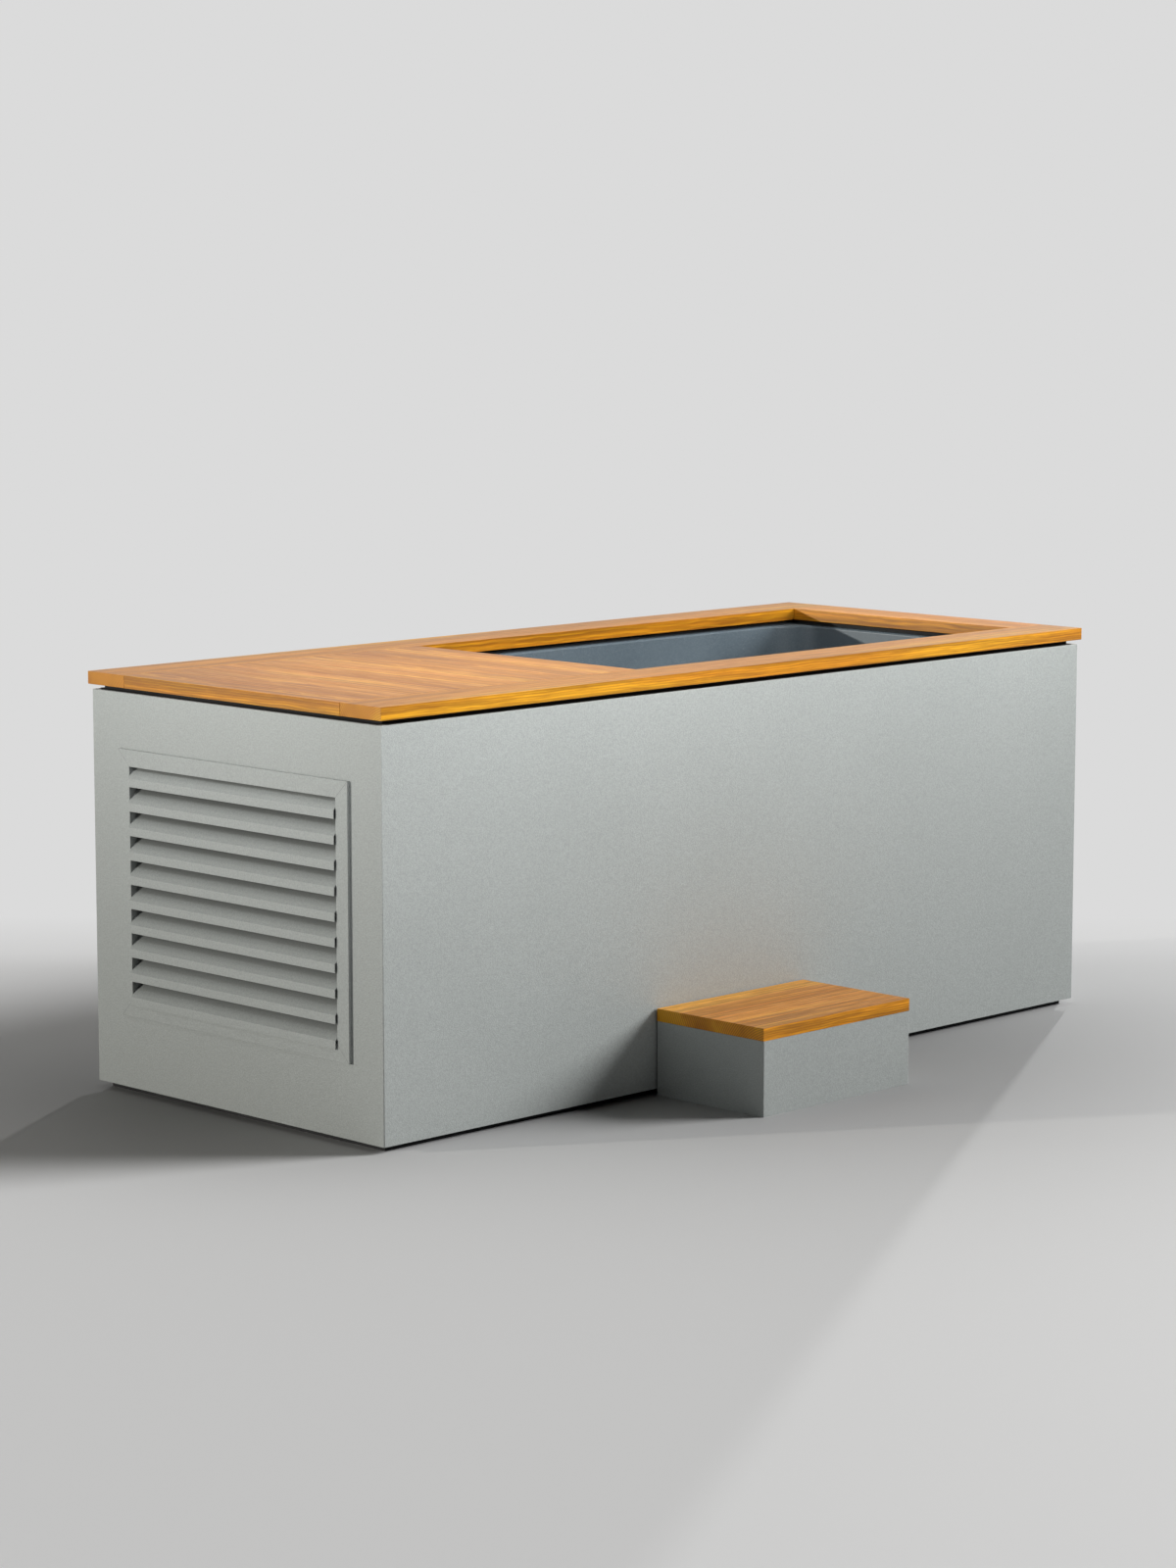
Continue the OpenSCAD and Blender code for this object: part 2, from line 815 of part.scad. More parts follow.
// Leaf with its knuckles at the given hinge; side is 1 for the moving leaf above, -1 for the fixed one
module hinge_leaf(side, knuckles) {
    z = side > 0 ? 0 : -leaf_t;
    for (s = [-1, 1])
        translate([hinge_x, s * hinge_y - hinge_l / 2, hinge_z])
            difference() {
                union() {
                    block([-leaf_w, 0, z], [-knuckle_r - knuckle_cut, hinge_l, z + leaf_t]);
                    for (i = knuckles) {
                        block([-knuckle_r - knuckle_cut, knuckle_y0(i), z], [0, knuckle_y1(i), z + leaf_t]);
                        translate([0, knuckle_y1(i), 0])
                            rotate([90, 0, 0]) cylinder(r = knuckle_r, h = knuckle_y1(i) - knuckle_y0(i));
                    }
                }
                translate([0, hinge_l + eps, 0])
                    rotate([90, 0, 0]) cylinder(r = pin_r + shaft_fit, h = hinge_l + 2 * eps);
            }
}

module hinge_fixed_leaves() {
    color("silver") hinge_leaf(-1, [0, 2]);
}

module hinge_moving_leaves() {
    color("silver") hinge_leaf(1, [1]);
}

module hinge_pins() {
    color("gainsboro")
        for (s = [-1, 1])
            translate([hinge_x, s * hinge_y + hinge_l / 2, hinge_z]) {
                rotate([90, 0, 0]) cylinder(r = pin_r, h = hinge_l);
                rotate([-90, 0, 0]) cylinder(r = knuckle_r, h = pin_head_t);
                translate([0, -hinge_l, 0]) rotate([90, 0, 0]) cylinder(r = knuckle_r, h = pin_head_t);
            }
}

// Tub form grown outwards by g: rounded upright corners and a rounded floor edge
module tub_form(g, z0, z1) {
    r = tub_corner_r + g;
    f = tub_floor_r + g;
    hull()
        for (x = [open_x0 - g + r, open_x1 + g - r], s = [-1, 1])
            translate([x, s * (open_y + g - r), 0]) {
                translate([0, 0, z0 + f])
                    rotate_extrude($fn = tub_facets) translate([r - f, 0]) circle(r = f, $fn = tub_facets);
                translate([0, 0, z1 - eps]) cylinder(r = r, h = eps, $fn = tub_facets);
            }
}

module tub_shell() {
    color([0.42, 0.47, 0.5])
        difference() {
            union() {
                tub_form(tub_t, tub_z, cab_top);
                block([rim_x0, -rim_y, cab_top - tub_t], [rim_x1, rim_y, cab_top]);
            }
            tub_form(0, tub_floor, cab_top + 2 * eps);
            for (p = [[-suction_y, suction_z], [filter_y, return_z]])
                translate([tub_out_x0 - eps, p[0], p[1]])
                    rotate([0, 90, 0]) cylinder(r = body_r + skin_gap, h = tub_t + 2 * eps);
            translate([drain_centre_x, 0, tub_z - eps]) cylinder(r = body_r + skin_gap, h = tub_t + 2 * eps);
        }
}

module tub_insulation() {
    color([0.86, 0.8, 0.6])
        difference() {
            block([foam_x0, -open_y - tub_t - foam_wall_t, foam_z],
                [open_x1 + tub_t + foam_wall_t, open_y + tub_t + foam_wall_t, frame_top]);
            translate([0, 0, tub_z])
                linear_extrude(frame_top)
                    round_rect(tub_out_x0 - skin_gap, open_x1 + tub_t + skin_gap, open_y + tub_t + skin_gap,
                        tub_corner_r + tub_t + skin_gap);
            for (p = [[-suction_y, suction_z], [filter_y, return_z]])
                translate([foam_x0 - eps, p[0], p[1]])
                    rotate([0, 90, 0]) cylinder(r = nut_r + nut_clear, h = foam_wall_t + tub_t);
            translate([drain_centre_x, 0, foam_z - eps])
                cylinder(r = nut_r + nut_clear, h = foam_floor_t + tub_t);
            translate([foam_x0 - eps, 0, drain_z])
                rotate([0, 90, 0]) cylinder(r = drain_d / 2 + nut_clear, h = drain_centre_x - foam_x0);
        }
}

// Fitting through the tub's wall: flange inside, threaded body, nut and spigot outside
module wall_fitting(y, z) {
    translate([0, y, z])
        rotate([0, 90, 0])
            difference() {
                union() {
                    translate([0, 0, open_x0]) cylinder(r = flange_r, h = flange_t);
                    translate([0, 0, tub_out_x0 - nut_t]) cylinder(r = body_r, h = nut_t + tub_t + flange_t);
                    translate([0, 0, tub_out_x0 - nut_t]) cylinder(r = nut_r, h = nut_t, $fn = 8);
                    translate([0, 0, spigot_x]) cylinder(r = pipe_d / 2, h = spigot_l + nut_t + tub_t);
                }
                translate([0, 0, spigot_x - eps])
                    cylinder(r = pipe_bore / 2, h = open_x0 + flange_t - spigot_x + 2 * eps);
            }
}

module suction_fitting() {
    color(pvc) wall_fitting(-suction_y, suction_z);
}

module return_fitting() {
    color(pvc) {
        wall_fitting(filter_y, return_z);
        translate([open_x0 + flange_t, filter_y, return_z])
            rotate([0, 90, 0])
                difference() {
                    cylinder(r = eye_r, h = eye_t);
                    translate([0, 0, -eps]) cylinder(r = eye_bore_r, h = eye_t + 2 * eps);
                }
    }
}

// Domed cover that keeps hair and limbs off the suction: a disc with a ring of slots
module suction_cover() {
    color("whitesmoke")
        translate([open_x0 + flange_t, -suction_y, suction_z])
            rotate([0, 90, 0])
                difference() {
                    union() {
                        cylinder(r = flange_r, h = cover_t);
                        translate([0, 0, cover_t])
                            cylinder(r1 = flange_r, r2 = flange_r - cover_wall, h = dome_t);
                    }
                    translate([0, 0, -eps]) cylinder(r = flange_r - cover_wall, h = cover_t);
                    for (x = [-4 * slot_pitch : slot_pitch : 4 * slot_pitch])
                        translate([x - slot_w / 2, -sqrt(slot_r * slot_r - x * x), cover_t / 2])
                            cube([slot_w, 2 * sqrt(slot_r * slot_r - x * x), cover_t + dome_t]);
                }
}

module floor_drain() {
    color("silver")
        translate([drain_centre_x, 0, 0])
            difference() {
                union() {
                    translate([0, 0, tub_floor]) cylinder(r = drain_flange_r, h = drain_flange_t);
                    translate([0, 0, tub_floor - drain_body_h]) cylinder(r = body_r, h = drain_body_h);
                    translate([0, 0, tub_z - nut_t]) cylinder(r = nut_r - 2 * nut_clear, h = nut_t, $fn = 8);
                    translate([-drain_stub_l, 0, drain_z])
                        rotate([0, 90, 0]) cylinder(r = drain_d / 2, h = drain_stub_l);
                }
                translate([0, 0, tub_floor - drain_body_h + pipe_wall])
                    cylinder(r = body_r - pipe_wall, h = drain_body_h - pipe_wall - eps);
                translate([-drain_stub_l - eps, 0, drain_z])
                    rotate([0, 90, 0]) cylinder(r = drain_d / 2 - pipe_wall, h = drain_stub_l);
                for (a = [0 : 60 : 300])
                    rotate([0, 0, a])
                        translate([drain_slot_ring_r, 0, tub_floor - 4 * eps])
                            cylinder(r = drain_slot_r, h = drain_flange_t + 6 * eps);
            }
}

module suction_pipe() {
    color(pvc)
        water_pipe([[spigot_x, -suction_y, suction_z], [valve_x1, -suction_y, suction_z]], pipe_d, pipe_bore);
}

// Body of a quarter-turn valve along X, with a boss for the stem of its handle
module valve_body(r, bore) {
    difference() {
        union() {
            rotate([0, 90, 0]) cylinder(r = r, h = valve_l, center = true);
            for (s = [-1, 1])
                translate([s * (valve_l - collar_l) / 2, 0, 0])
                    rotate([0, 90, 0]) cylinder(r = r + collar_t, h = collar_l, center = true, $fn = 8);
            cylinder(r = stem_r + boss_t, h = r + boss_h);
        }
        rotate([0, 90, 0]) cylinder(r = bore / 2, h = valve_l + 2 * eps, center = true);
        translate([0, 0, r - boss_h / 2]) cylinder(r = stem_r + shaft_fit, h = 2 * boss_h);
    }
}

// Butterfly handle of a quarter-turn valve, lying along the pipe when the valve is open
module valve_wings(r) {
    color("firebrick") {
        translate([0, 0, r - boss_h / 2 + eps / 2]) cylinder(r = stem_r, h = 1.5 * boss_h);
        translate([0, 0, r + boss_h + handle_gap]) {
            cylinder(r = handle_w / 2 + hub_out, h = handle_t + hub_rise);
            translate([-handle_reach, -handle_w / 2, 0]) cube([2 * handle_reach, handle_w, handle_t]);
            for (s = [-1, 1]) translate([s * handle_reach, 0, 0]) cylinder(r = handle_w / 2, h = handle_t);
        }
    }
}

module suction_valve() {
    color(pvc) translate(suction_valve_at) valve_body(valve_r, pipe_bore);
}

module suction_valve_handle() {
    translate(suction_valve_at) valve_wings(valve_r);
}

// Pump, with its axis along X
module pump_volute() {
    color([0.2, 0.21, 0.23])
        translate([0, -suction_y, suction_z])
            difference() {
                union() {
                    translate([volute_x0, 0, 0])
                        rotate([0, 90, 0]) cylinder(r = volute_r, h = volute_l - neck_l);
                    translate([volute_x1 - neck_l, 0, 0]) rotate([0, 90, 0]) cylinder(r = neck_r, h = neck_l);
                    translate([volute_x1, 0, 0]) rotate([0, 90, 0]) cylinder(r = pipe_d / 2, h = volute_gap);
                    translate([filter_x, 0, 0]) cylinder(r = pipe_d / 2, h = pump_outlet_l);
                }
                translate([volute_x0 + volute_wall, 0, 0])
                    rotate([0, 90, 0])
                        cylinder(r = volute_r - volute_skin, h = volute_l - neck_l - 1.8 * volute_wall);
                translate([volute_x0 + volute_wall, 0, 0])
                    rotate([0, 90, 0]) cylinder(r = pipe_bore / 2, h = 2 * volute_l);
                translate([filter_x, 0, 0]) cylinder(r = pipe_bore / 2 - 4, h = pump_outlet_l + eps);
                translate([volute_x0 - eps, 0, 0])
                    rotate([0, 90, 0]) cylinder(r = shaft_r + shaft_fit, h = 2 * volute_wall);
            }
}

module pump_impeller() {
    color("silver")
        translate([volute_x0, -suction_y, suction_z])
            rotate([0, 90, 0]) {
                translate([0, 0, -shaft_back]) cylinder(r = shaft_r, h = shaft_l);
                translate([0, 0, disc_x]) cylinder(r = volute_r - vane_hub_r, h = vane_t);
                for (a = [0 : 60 : 300])
                    rotate([0, 0, a])
                        translate([vane_hub_r - 4, -vane_t / 2, disc_x + vane_t - eps])
                            cube([volute_r - 2 * vane_hub_r, vane_t, vane_h]);
                translate([0, 0, disc_x]) cylinder(r = vane_hub_r, h = vane_t + vane_h - eps);
            }
}

module pump_motor() {
    color([0.25, 0.35, 0.45])
        translate([volute_x0 - motor_l, -suction_y, suction_z])
            rotate([0, 90, 0])
                difference() {
                    union() {
                        cylinder(r = motor_d / 2, h = motor_l);
                        for (a = [0 : 15 : 345])
                            rotate([0, 0, a])
                                translate([motor_d / 2 - eps, -motor_fin_w / 2, motor_fin_inset])
                                    cube([motor_fin_h + eps, motor_fin_w, motor_l - 2 * motor_fin_inset]);
                    }
                    translate([0, 0, motor_l - motor_bore_l])
                        cylinder(r = shaft_r + shaft_fit, h = motor_bore_l + eps);
                }
}

module pump_stand() {
    color(steel)
        difference() {
            block([stand_x0, -suction_y - stand_w / 2, tray_z],
                [stand_x1, -suction_y + stand_w / 2, suction_z - stand_lap]);
            translate([volute_x0 - motor_l, -suction_y, suction_z])
                rotate([0, 90, 0]) cylinder(r = motor_d / 2 + motor_fin_h + skin_gap, h = motor_l);
            block([stand_x0 + stand_wall, -suction_y - stand_w / 2 - eps, tray_z + stand_wall],
                [stand_x1 - stand_wall, -suction_y + stand_w / 2 + eps, suction_z - stand_top_h]);
        }
}

// Pump to filter, and filter to heat exchanger
module filter_pipes() {
    color(pvc) {
        water_pipe([[filter_x, -suction_y, suction_z + pump_outlet_l], [filter_x, -suction_y, discharge_z],
            [filter_x, filter_y - filter_port_r, discharge_z]], pipe_d, pipe_bore);
        water_pipe([[filter_x - filter_port_r, filter_y, filter_out_z],
            [exchanger_x + exchanger_port_r, filter_y, filter_out_z]], pipe_d, pipe_bore);
    }
}

module filter_housing() {
    color([0.9, 0.91, 0.92])
        translate([filter_x, filter_y, 0])
            difference() {
                union() {
                    translate([0, 0, filter_z0]) cylinder(r = filter_d / 2, h = filter_h);
                    translate([0, 0, filter_z1 - band_drop]) cylinder(r = filter_d / 2 + band_t, h = band_h);
                    translate([0, 0, tray_z]) cylinder(r = filter_foot_r, h = filter_foot_h);
                    translate([0, 0, discharge_z])
                        rotate([90, 0, 0]) cylinder(r = socket_d / 2, h = filter_port_r);
                    translate([0, 0, filter_out_z])
                        rotate([0, -90, 0]) cylinder(r = socket_d / 2, h = filter_port_r);
                }
                translate([0, 0, filter_z0 + filter_wall])
                    cylinder(r = filter_d / 2 - filter_wall, h = filter_h);
                translate([0, 0, tray_z - eps])
                    cylinder(r = filter_foot_r - filter_foot_wall, h = filter_foot_h - filter_foot_wall);
                translate([0, 0, discharge_z])
                    rotate([90, 0, 0]) cylinder(r = pipe_bore / 2, h = filter_port_r + eps);
                translate([0, 0, filter_out_z])
                    rotate([0, -90, 0]) cylinder(r = pipe_bore / 2, h = filter_port_r + eps);
            }
}

module filter_lid() {
    color("midnightblue")
        translate([filter_x, filter_y, filter_z1 - lid_h + lid_top_t])
            difference() {
                union() {
                    cylinder(r = filter_d / 2 + lid_wall, h = lid_h);
                    translate([0, 0, lid_h]) cylinder(r = lid_knob_r, h = lid_knob_h);
                    for (a = [0 : 45 : 315])
                        rotate([0, 0, a])
                            translate([filter_d / 2 + lid_wall - 2, -rib_w / 2, 0])
                                cube([lid_wall, rib_w, lid_h]);
                }
                translate([0, 0, -eps])
                    cylinder(r = filter_d / 2 + skin_gap, h = lid_h - lid_top_t + eps + skin_gap);
            }
}

module filter_cartridge() {
    color("white")
        translate([filter_x, filter_y, filter_z0 + filter_wall])
            difference() {
                union() {
                    cylinder(r = cartridge_cap_r, h = cartridge_cap_h);
                    cylinder(r = cartridge_r, h = filter_h - cartridge_short);
                    translate([0, 0, filter_h - cartridge_short - cartridge_cap_h])
                        cylinder(r = cartridge_cap_r, h = cartridge_cap_h);
                }
                translate([0, 0, cartridge_base]) cylinder(r = cartridge_bore_r, h = filter_h);
            }
}

module heat_exchanger() {
    color([0.12, 0.13, 0.14])
        translate([exchanger_x, filter_y, 0])
            difference() {
                union() {
                    translate([0, 0, tray_z])
                        cylinder(r = exchanger_d / 2 - exchanger_foot_in, h = exchanger_foot_h);
                    translate([0, 0, tray_z + exchanger_foot_h])
                        cylinder(r = exchanger_d / 2, h = exchanger_h - exchanger_foot_h - exchanger_dome_h);
                    translate([0, 0, exchanger_z1 - exchanger_dome_h])
                        cylinder(r1 = exchanger_d / 2, r2 = exchanger_dome_r, h = exchanger_dome_h);
                    translate([0, 0, exchanger_z1]) cylinder(r = socket_d / 2, h = exchanger_top_l);
                    translate([0, 0, filter_out_z])
                        rotate([0, 90, 0]) cylinder(r = socket_d / 2, h = exchanger_port_r);
                }
                translate([0, 0, exchanger_in_z])
                    cylinder(r = exchanger_d / 2 - exchanger_wall, h = exchanger_in_h);
                translate([0, 0, exchanger_in_z]) cylinder(r = pipe_bore / 2, h = exchanger_h);
                translate([0, 0, filter_out_z])
                    rotate([0, 90, 0]) cylinder(r = pipe_bore / 2, h = exchanger_port_r + eps);
            }
}

module return_pipe() {
    color(pvc) {
        water_pipe([
            [exchanger_x, filter_y, exchanger_z1 + exchanger_top_l],
            [exchanger_x, filter_y, return_z],
            [exchanger_x, return_run_y, return_z],
            [return_valve_x - valve_l / 2, return_run_y, return_z]], pipe_d, pipe_bore);
        water_pipe([
            [return_valve_x + valve_l / 2, return_run_y, return_z],
            [return_turn_x, return_run_y, return_z],
            [return_turn_x, filter_y, return_z],
            [spigot_x, filter_y, return_z]], pipe_d, pipe_bore);
    }
}

module return_valve() {
    color(pvc) translate(return_valve_at) valve_body(valve_r, pipe_bore);
}

module return_valve_handle() {
    translate(return_valve_at) valve_wings(valve_r);
}

module drain_pipe() {
    color(pvc) {
        water_pipe([[drain_centre_x - drain_stub_l, 0, drain_z], [drain_x, 0, drain_z],
            [drain_x, drain_valve_y - valve_l / 2, drain_z]], drain_d, drain_d - 2 * pipe_wall);
        difference() {
            bar([drain_x, drain_valve_y + valve_l / 2, drain_z], [drain_x, outlet_y, drain_z], drain_d / 2);
            bar([drain_x, outlet_y - outlet_depth, drain_z], [drain_x, outlet_y + eps, drain_z],
                outlet_bore / 2);
            bar([drain_x, drain_valve_y, drain_z], [drain_x, half_w, drain_z], outlet_bore / 2 - pipe_wall);
        }
    }
}

module drain_valve() {
    color("goldenrod")
        translate(drain_valve_at) rotate([0, 0, 90]) valve_body(drain_valve_r, drain_d - 2 * pipe_wall);
}

module drain_valve_handle() {
    translate(drain_valve_at) rotate([0, 0, 90]) valve_wings(drain_valve_r);
}

module equipment_tray() {
    color("lightgray")
        difference() {
            block([tray_x0, -tray_y, base_top], [tray_x1, tray_y, tray_z + tray_rim]);
            block([tray_x0 + tray_t, -tray_y + tray_t, tray_z],
                [tray_x1 - tray_t, tray_y - tray_t, tray_z + tray_rim + eps]);
        }
}

// Finned block between two tube plates, with the return bends outside the plates and a foot under each
module condenser() {
    color("lightgray") {
        block([coil_x, -coil_y, coil_z0], [coil_x + coil_t, coil_y, coil_z1]);
        for (s = [-1, 1])
            scale([1, s, 1]) {
                block([coil_x, coil_y, coil_z0], [coil_x + coil_t, coil_y + coil_plate_t, coil_z1]);
                block([coil_x, coil_y - coil_foot_w, tray_z], [coil_x + coil_t, coil_y, coil_z0]);
            }
    }
    color(copper)
        for (s = [-1, 1], i = [0 : tube_rows - 1])
            translate([coil_mid_x, s * (coil_y + coil_plate_t), coil_z0 + tube_margin + i * tube_pitch])
                rotate([0, 90, 0])
                    rotate([0, 0, s > 0 ? 0 : 180])
                        translate([0, -1, 0])
                            rotate_extrude(angle = 180, $fn = 24)
                                translate([bend_r, 0]) circle(r = bend_tube_r, $fn = 16);
}

module fan_shroud() {
    color([0.16, 0.17, 0.18])
        difference() {
            block([shroud_x, -coil_y, coil_z0], [shroud_x + shroud_d, coil_y, coil_z1]);
            block([shroud_x - eps, -coil_y + shroud_t, coil_z0 + shroud_t],
                [shroud_x + shroud_d - shroud_t, coil_y - shroud_t, coil_z1 - shroud_t]);
            translate([shroud_x, 0, fan_z])
                rotate([0, 90, 0]) cylinder(r = fan_r + fan_gap, h = shroud_d + eps, $fn = 96);
        }
    color([0.16, 0.17, 0.18])
        translate([shroud_x + shroud_d + duct_out - duct_l, 0, fan_z])
            rotate([0, 90, 0])
                difference() {
                    cylinder(r = fan_r + fan_gap + shroud_t, h = duct_l, $fn = 96);
                    translate([0, 0, -eps]) cylinder(r = fan_r + fan_gap, h = duct_l + 2 * eps, $fn = 96);
                }
}

// Two bars across the duct that hold the fan's motor
module fan_bracket() {
    color(steel)
        for (s = [-1, 1])
            difference() {
                block([fan_motor_x - bracket_t, s * bracket_y - bracket_w / 2, coil_z0 + bracket_inset],
                    [fan_motor_x, s * bracket_y + bracket_w / 2, coil_z1 - bracket_inset]);
                translate([fan_x, 0, fan_z])
                    rotate([0, 90, 0]) cylinder(r = shaft_hole_r, h = 2 * fan_motor_l);
            }
    color(steel)
        for (s = [-1, 1], z = [coil_z0 + bracket_inset, coil_z1 - bracket_inset - bracket_w])
            block([shroud_x + shroud_d, s * bracket_y - bracket_w / 2, z],
                [shroud_x + shroud_d + duct_out, s * bracket_y + bracket_w / 2, z + bracket_w]);
}

module fan_motor() {
    color([0.2, 0.2, 0.21])
        translate([fan_motor_x, 0, fan_z])
            rotate([0, 90, 0])
                difference() {
                    cylinder(r = fan_motor_r, h = fan_motor_l);
                    translate([0, 0, -eps]) cylinder(r = shaft_r + shaft_fit, h = fan_shaft_in + 6);
                }
}

module fan_rotor() {
    color([0.1, 0.1, 0.11])
        translate([fan_x, 0, fan_z])
            rotate([0, 90, 0]) {
                translate([0, 0, -fan_hub_l / 2]) cylinder(r = fan_hub_r, h = fan_hub_l);
                cylinder(r = shaft_r, h = fan_motor_x - fan_x + fan_shaft_in);
                for (i = [0 : fan_blades - 1])
                    rotate([0, 0, i * 360 / fan_blades])
                        translate([fan_hub_r - blade_root, 0, 0])
                            rotate([blade_angle, 0, 0])
                                translate([0, -blade_chord / 2, -fan_blade_t / 2])
                                    cube([fan_r - fan_hub_r, blade_chord, fan_blade_t]);
            }
}

// Rotary compressor on a three-armed foot, with its accumulator strapped alongside
module compressor() {
    color(black)
        translate([compressor_x, compressor_y, 0]) {
            translate([0, 0, compressor_z]) cylinder(r = compressor_d / 2, h = compressor_h);
            translate([0, 0, compressor_z + compressor_h])
                cylinder(r1 = compressor_d / 2, r2 = compressor_dome_r, h = compressor_dome_h);
            translate([0, 0, compressor_z - compressor_plate_t])
                cylinder(r = compressor_plate_r, h = compressor_plate_t);
            for (a = [30, 150, 270])
                rotate([0, 0, a]) {
                    translate([0, -arm_w / 2, compressor_z - compressor_plate_t])
                        cube([compressor_d / 2 + arm_l, arm_w, compressor_plate_t]);
                    translate([compressor_d / 2 + arm_l - foot_in, 0, tray_z])
                        cylinder(r = foot_r, h = compressor_lift - compressor_plate_t);
                }
            translate([0, accumulator_y - compressor_y, compressor_z + accumulator_lift])
                cylinder(r = accumulator_r, h = accumulator_l);
            translate([-strap_w / 2, compressor_d / 2 - 4, compressor_z + strap_lift])
                cube([strap_w, strap_w, strap_h]);
        }
}

module refrigerant_pipes() {
    color(copper) {
        // Hot gas from the compressor to the top of the condenser
        run([[compressor_x, compressor_y, gas_top], [compressor_x, compressor_y, gas_top + gas_rise],
            [compressor_x, coil_gas_y, gas_top + gas_rise], [coil_mid_x, coil_gas_y, gas_top + gas_rise],
            [coil_mid_x, coil_gas_y, coil_z1 - gas_drop],
            [coil_mid_x, -coil_y - coil_plate_t, coil_z1 - gas_drop]], gas_r);
        // Cold gas from the exchanger to the accumulator
        run([[exchanger_x - cold_gas_in, filter_y - exchanger_d / 2, cold_gas_z],
            [exchanger_x - cold_gas_in, accumulator_y + cold_gas_shift, cold_gas_z],
            [compressor_x, accumulator_y + cold_gas_shift, cold_gas_z],
            [compressor_x, accumulator_y + cold_gas_shift, accumulator_top + gas_drop],
            [compressor_x, accumulator_y, accumulator_top + gas_drop],
            [compressor_x, accumulator_y, accumulator_top]], gas_r);
        // Liquid from the foot of the condenser to the exchanger
        run([[coil_mid_x, coil_y + coil_plate_t, liquid_z], [coil_mid_x, liquid_y, liquid_z],
            [exchanger_x, liquid_y, liquid_z], [exchanger_x, filter_y + exchanger_d / 2, liquid_z]], gas_r);
    }
}

// Electronics box on the chiller side of the bulkhead
module control_box() {
    color([0.85, 0.86, 0.87])
        difference() {
            block([wall_x - box_d, box_shift - box_y / 2, box_z0],
                [wall_x, box_shift + box_y / 2, box_z0 + box_h]);
            block([wall_x - box_d + box_front, box_shift - box_y / 2 + box_wall, box_z0 + box_wall],
                [wall_x - box_wall, box_shift + box_y / 2 - box_wall, box_z0 + box_h - box_wall]);
            for (k = [-1 : 1])
                translate([wall_x - box_d - eps, box_shift + k * button_pitch, button_z])
                    rotate([0, 90, 0]) cylinder(r = button_r + button_clear, h = 2 * box_front);
            block([wall_x - box_d - eps, box_shift - window_w / 2, window_z0],
                [wall_x - box_d + window_d, box_shift + window_w / 2, window_z0 + window_h]);
        }
}

// Push button at place k in the row, with its keeper disc behind the box's front
module button(k) {
    translate([wall_x - box_d - button_out, box_shift + k * button_pitch, button_z])
        rotate([0, 90, 0]) {
            cylinder(r = button_r, h = button_l);
            translate([0, 0, button_out + box_front + skin_gap])
                cylinder(r = button_r + keeper_out, h = keeper_t);
        }
}

module power_button() {
    color("firebrick") button(-1);
}

module colder_button() {
    color("dimgray") button(0);
}

module warmer_button() {
    color("dimgray") button(1);
}

module cable_gland() {
    color(black)
        translate([gland_x, half_w, gland_z])
            rotate([-90, 0, 0])
                difference() {
                    union() {
                        translate([0, 0, -gland_in]) cylinder(r = gland_r, h = gland_in + eps);
                        translate([0, 0, -sheet_t - gland_nut_t])
                            cylinder(r = gland_r + gland_hex_out, h = gland_nut_t, $fn = 6);
                        cylinder(r = gland_r + gland_hex_out, h = gland_hex_t, $fn = 6);
                        cylinder(r = gland_r + gland_cap_out, h = gland_out);
                    }
                    translate([0, 0, -gland_in - eps])
                        cylinder(r = gland_bore_r, h = gland_in + gland_out + 2 * eps);
                }
}

module step_box() {
    color(sage)
        translate([step_x, step_y, 0])
            difference() {
                linear_extrude(step_box_h) round_rect(-step_l / 2, step_l / 2, step_d / 2, edge_r);
                block([-step_l / 2 + sheet_t, -step_d / 2 + sheet_t, -eps],
                    [step_l / 2 - sheet_t, step_d / 2 - sheet_t, step_box_h - sheet_t]);
                at_screws()
                    translate([0, 0, step_box_h - sheet_t - eps])
                        cylinder(r = screw_r + skin_gap, h = sheet_t + 2 * eps);
            }
}

// Places of the step's screws, from the step's middle
module at_screws() {
    for (sx = [-1, 1], sy = [-1, 1])
        translate([sx * (step_l / 2 - screw_inset_x), sy * (step_d / 2 - screw_inset_y), 0]) children();
}

module step_board() {
    color(timber)
        difference() {
            block([step_x - step_l / 2, step_y0, step_box_h],
                [step_x + step_l / 2, step_y1, step_box_h + timber_t]);
            translate([step_x, step_y, step_box_h - eps])
                at_screws() cylinder(r = screw_r + skin_gap, h = screw_l + 2 * eps);
        }
}

// Screws driven up through the box's top into the board
module step_screws() {
    color("silver")
        translate([step_x, step_y, step_box_h - sheet_t])
            at_screws() {
                cylinder(r = screw_r, h = sheet_t + screw_l);
                translate([0, 0, -screw_head_t]) cylinder(r = 2 * screw_r, h = screw_head_t);
            }
}

base_board();
base_frame();
upper_frame();
cross_beam();
front_panel();
back_panel();
left_panel();
right_panel();
bulkhead();
louvre_frame();
louvre_blades();
shadow_gap_spacers();
front_rail();
back_rail();
end_rail();
hatch_boards();
hatch_battens();
hinge_fixed_leaves();
hinge_moving_leaves();
hinge_pins();
tub_shell();
tub_insulation();
suction_fitting();
suction_cover();
return_fitting();
floor_drain();
suction_pipe();
suction_valve();
suction_valve_handle();
pump_volute();
pump_impeller();
pump_motor();
pump_stand();
filter_pipes();
filter_housing();
filter_lid();
filter_cartridge();
heat_exchanger();
return_pipe();
return_valve();
return_valve_handle();
drain_pipe();
drain_valve();
drain_valve_handle();
equipment_tray();
condenser();
fan_shroud();
fan_bracket();
fan_motor();
fan_rotor();
compressor();
refrigerant_pipes();
control_box();
power_button();
colder_button();
warmer_button();
cable_gland();
step_box();
step_board();
step_screws();
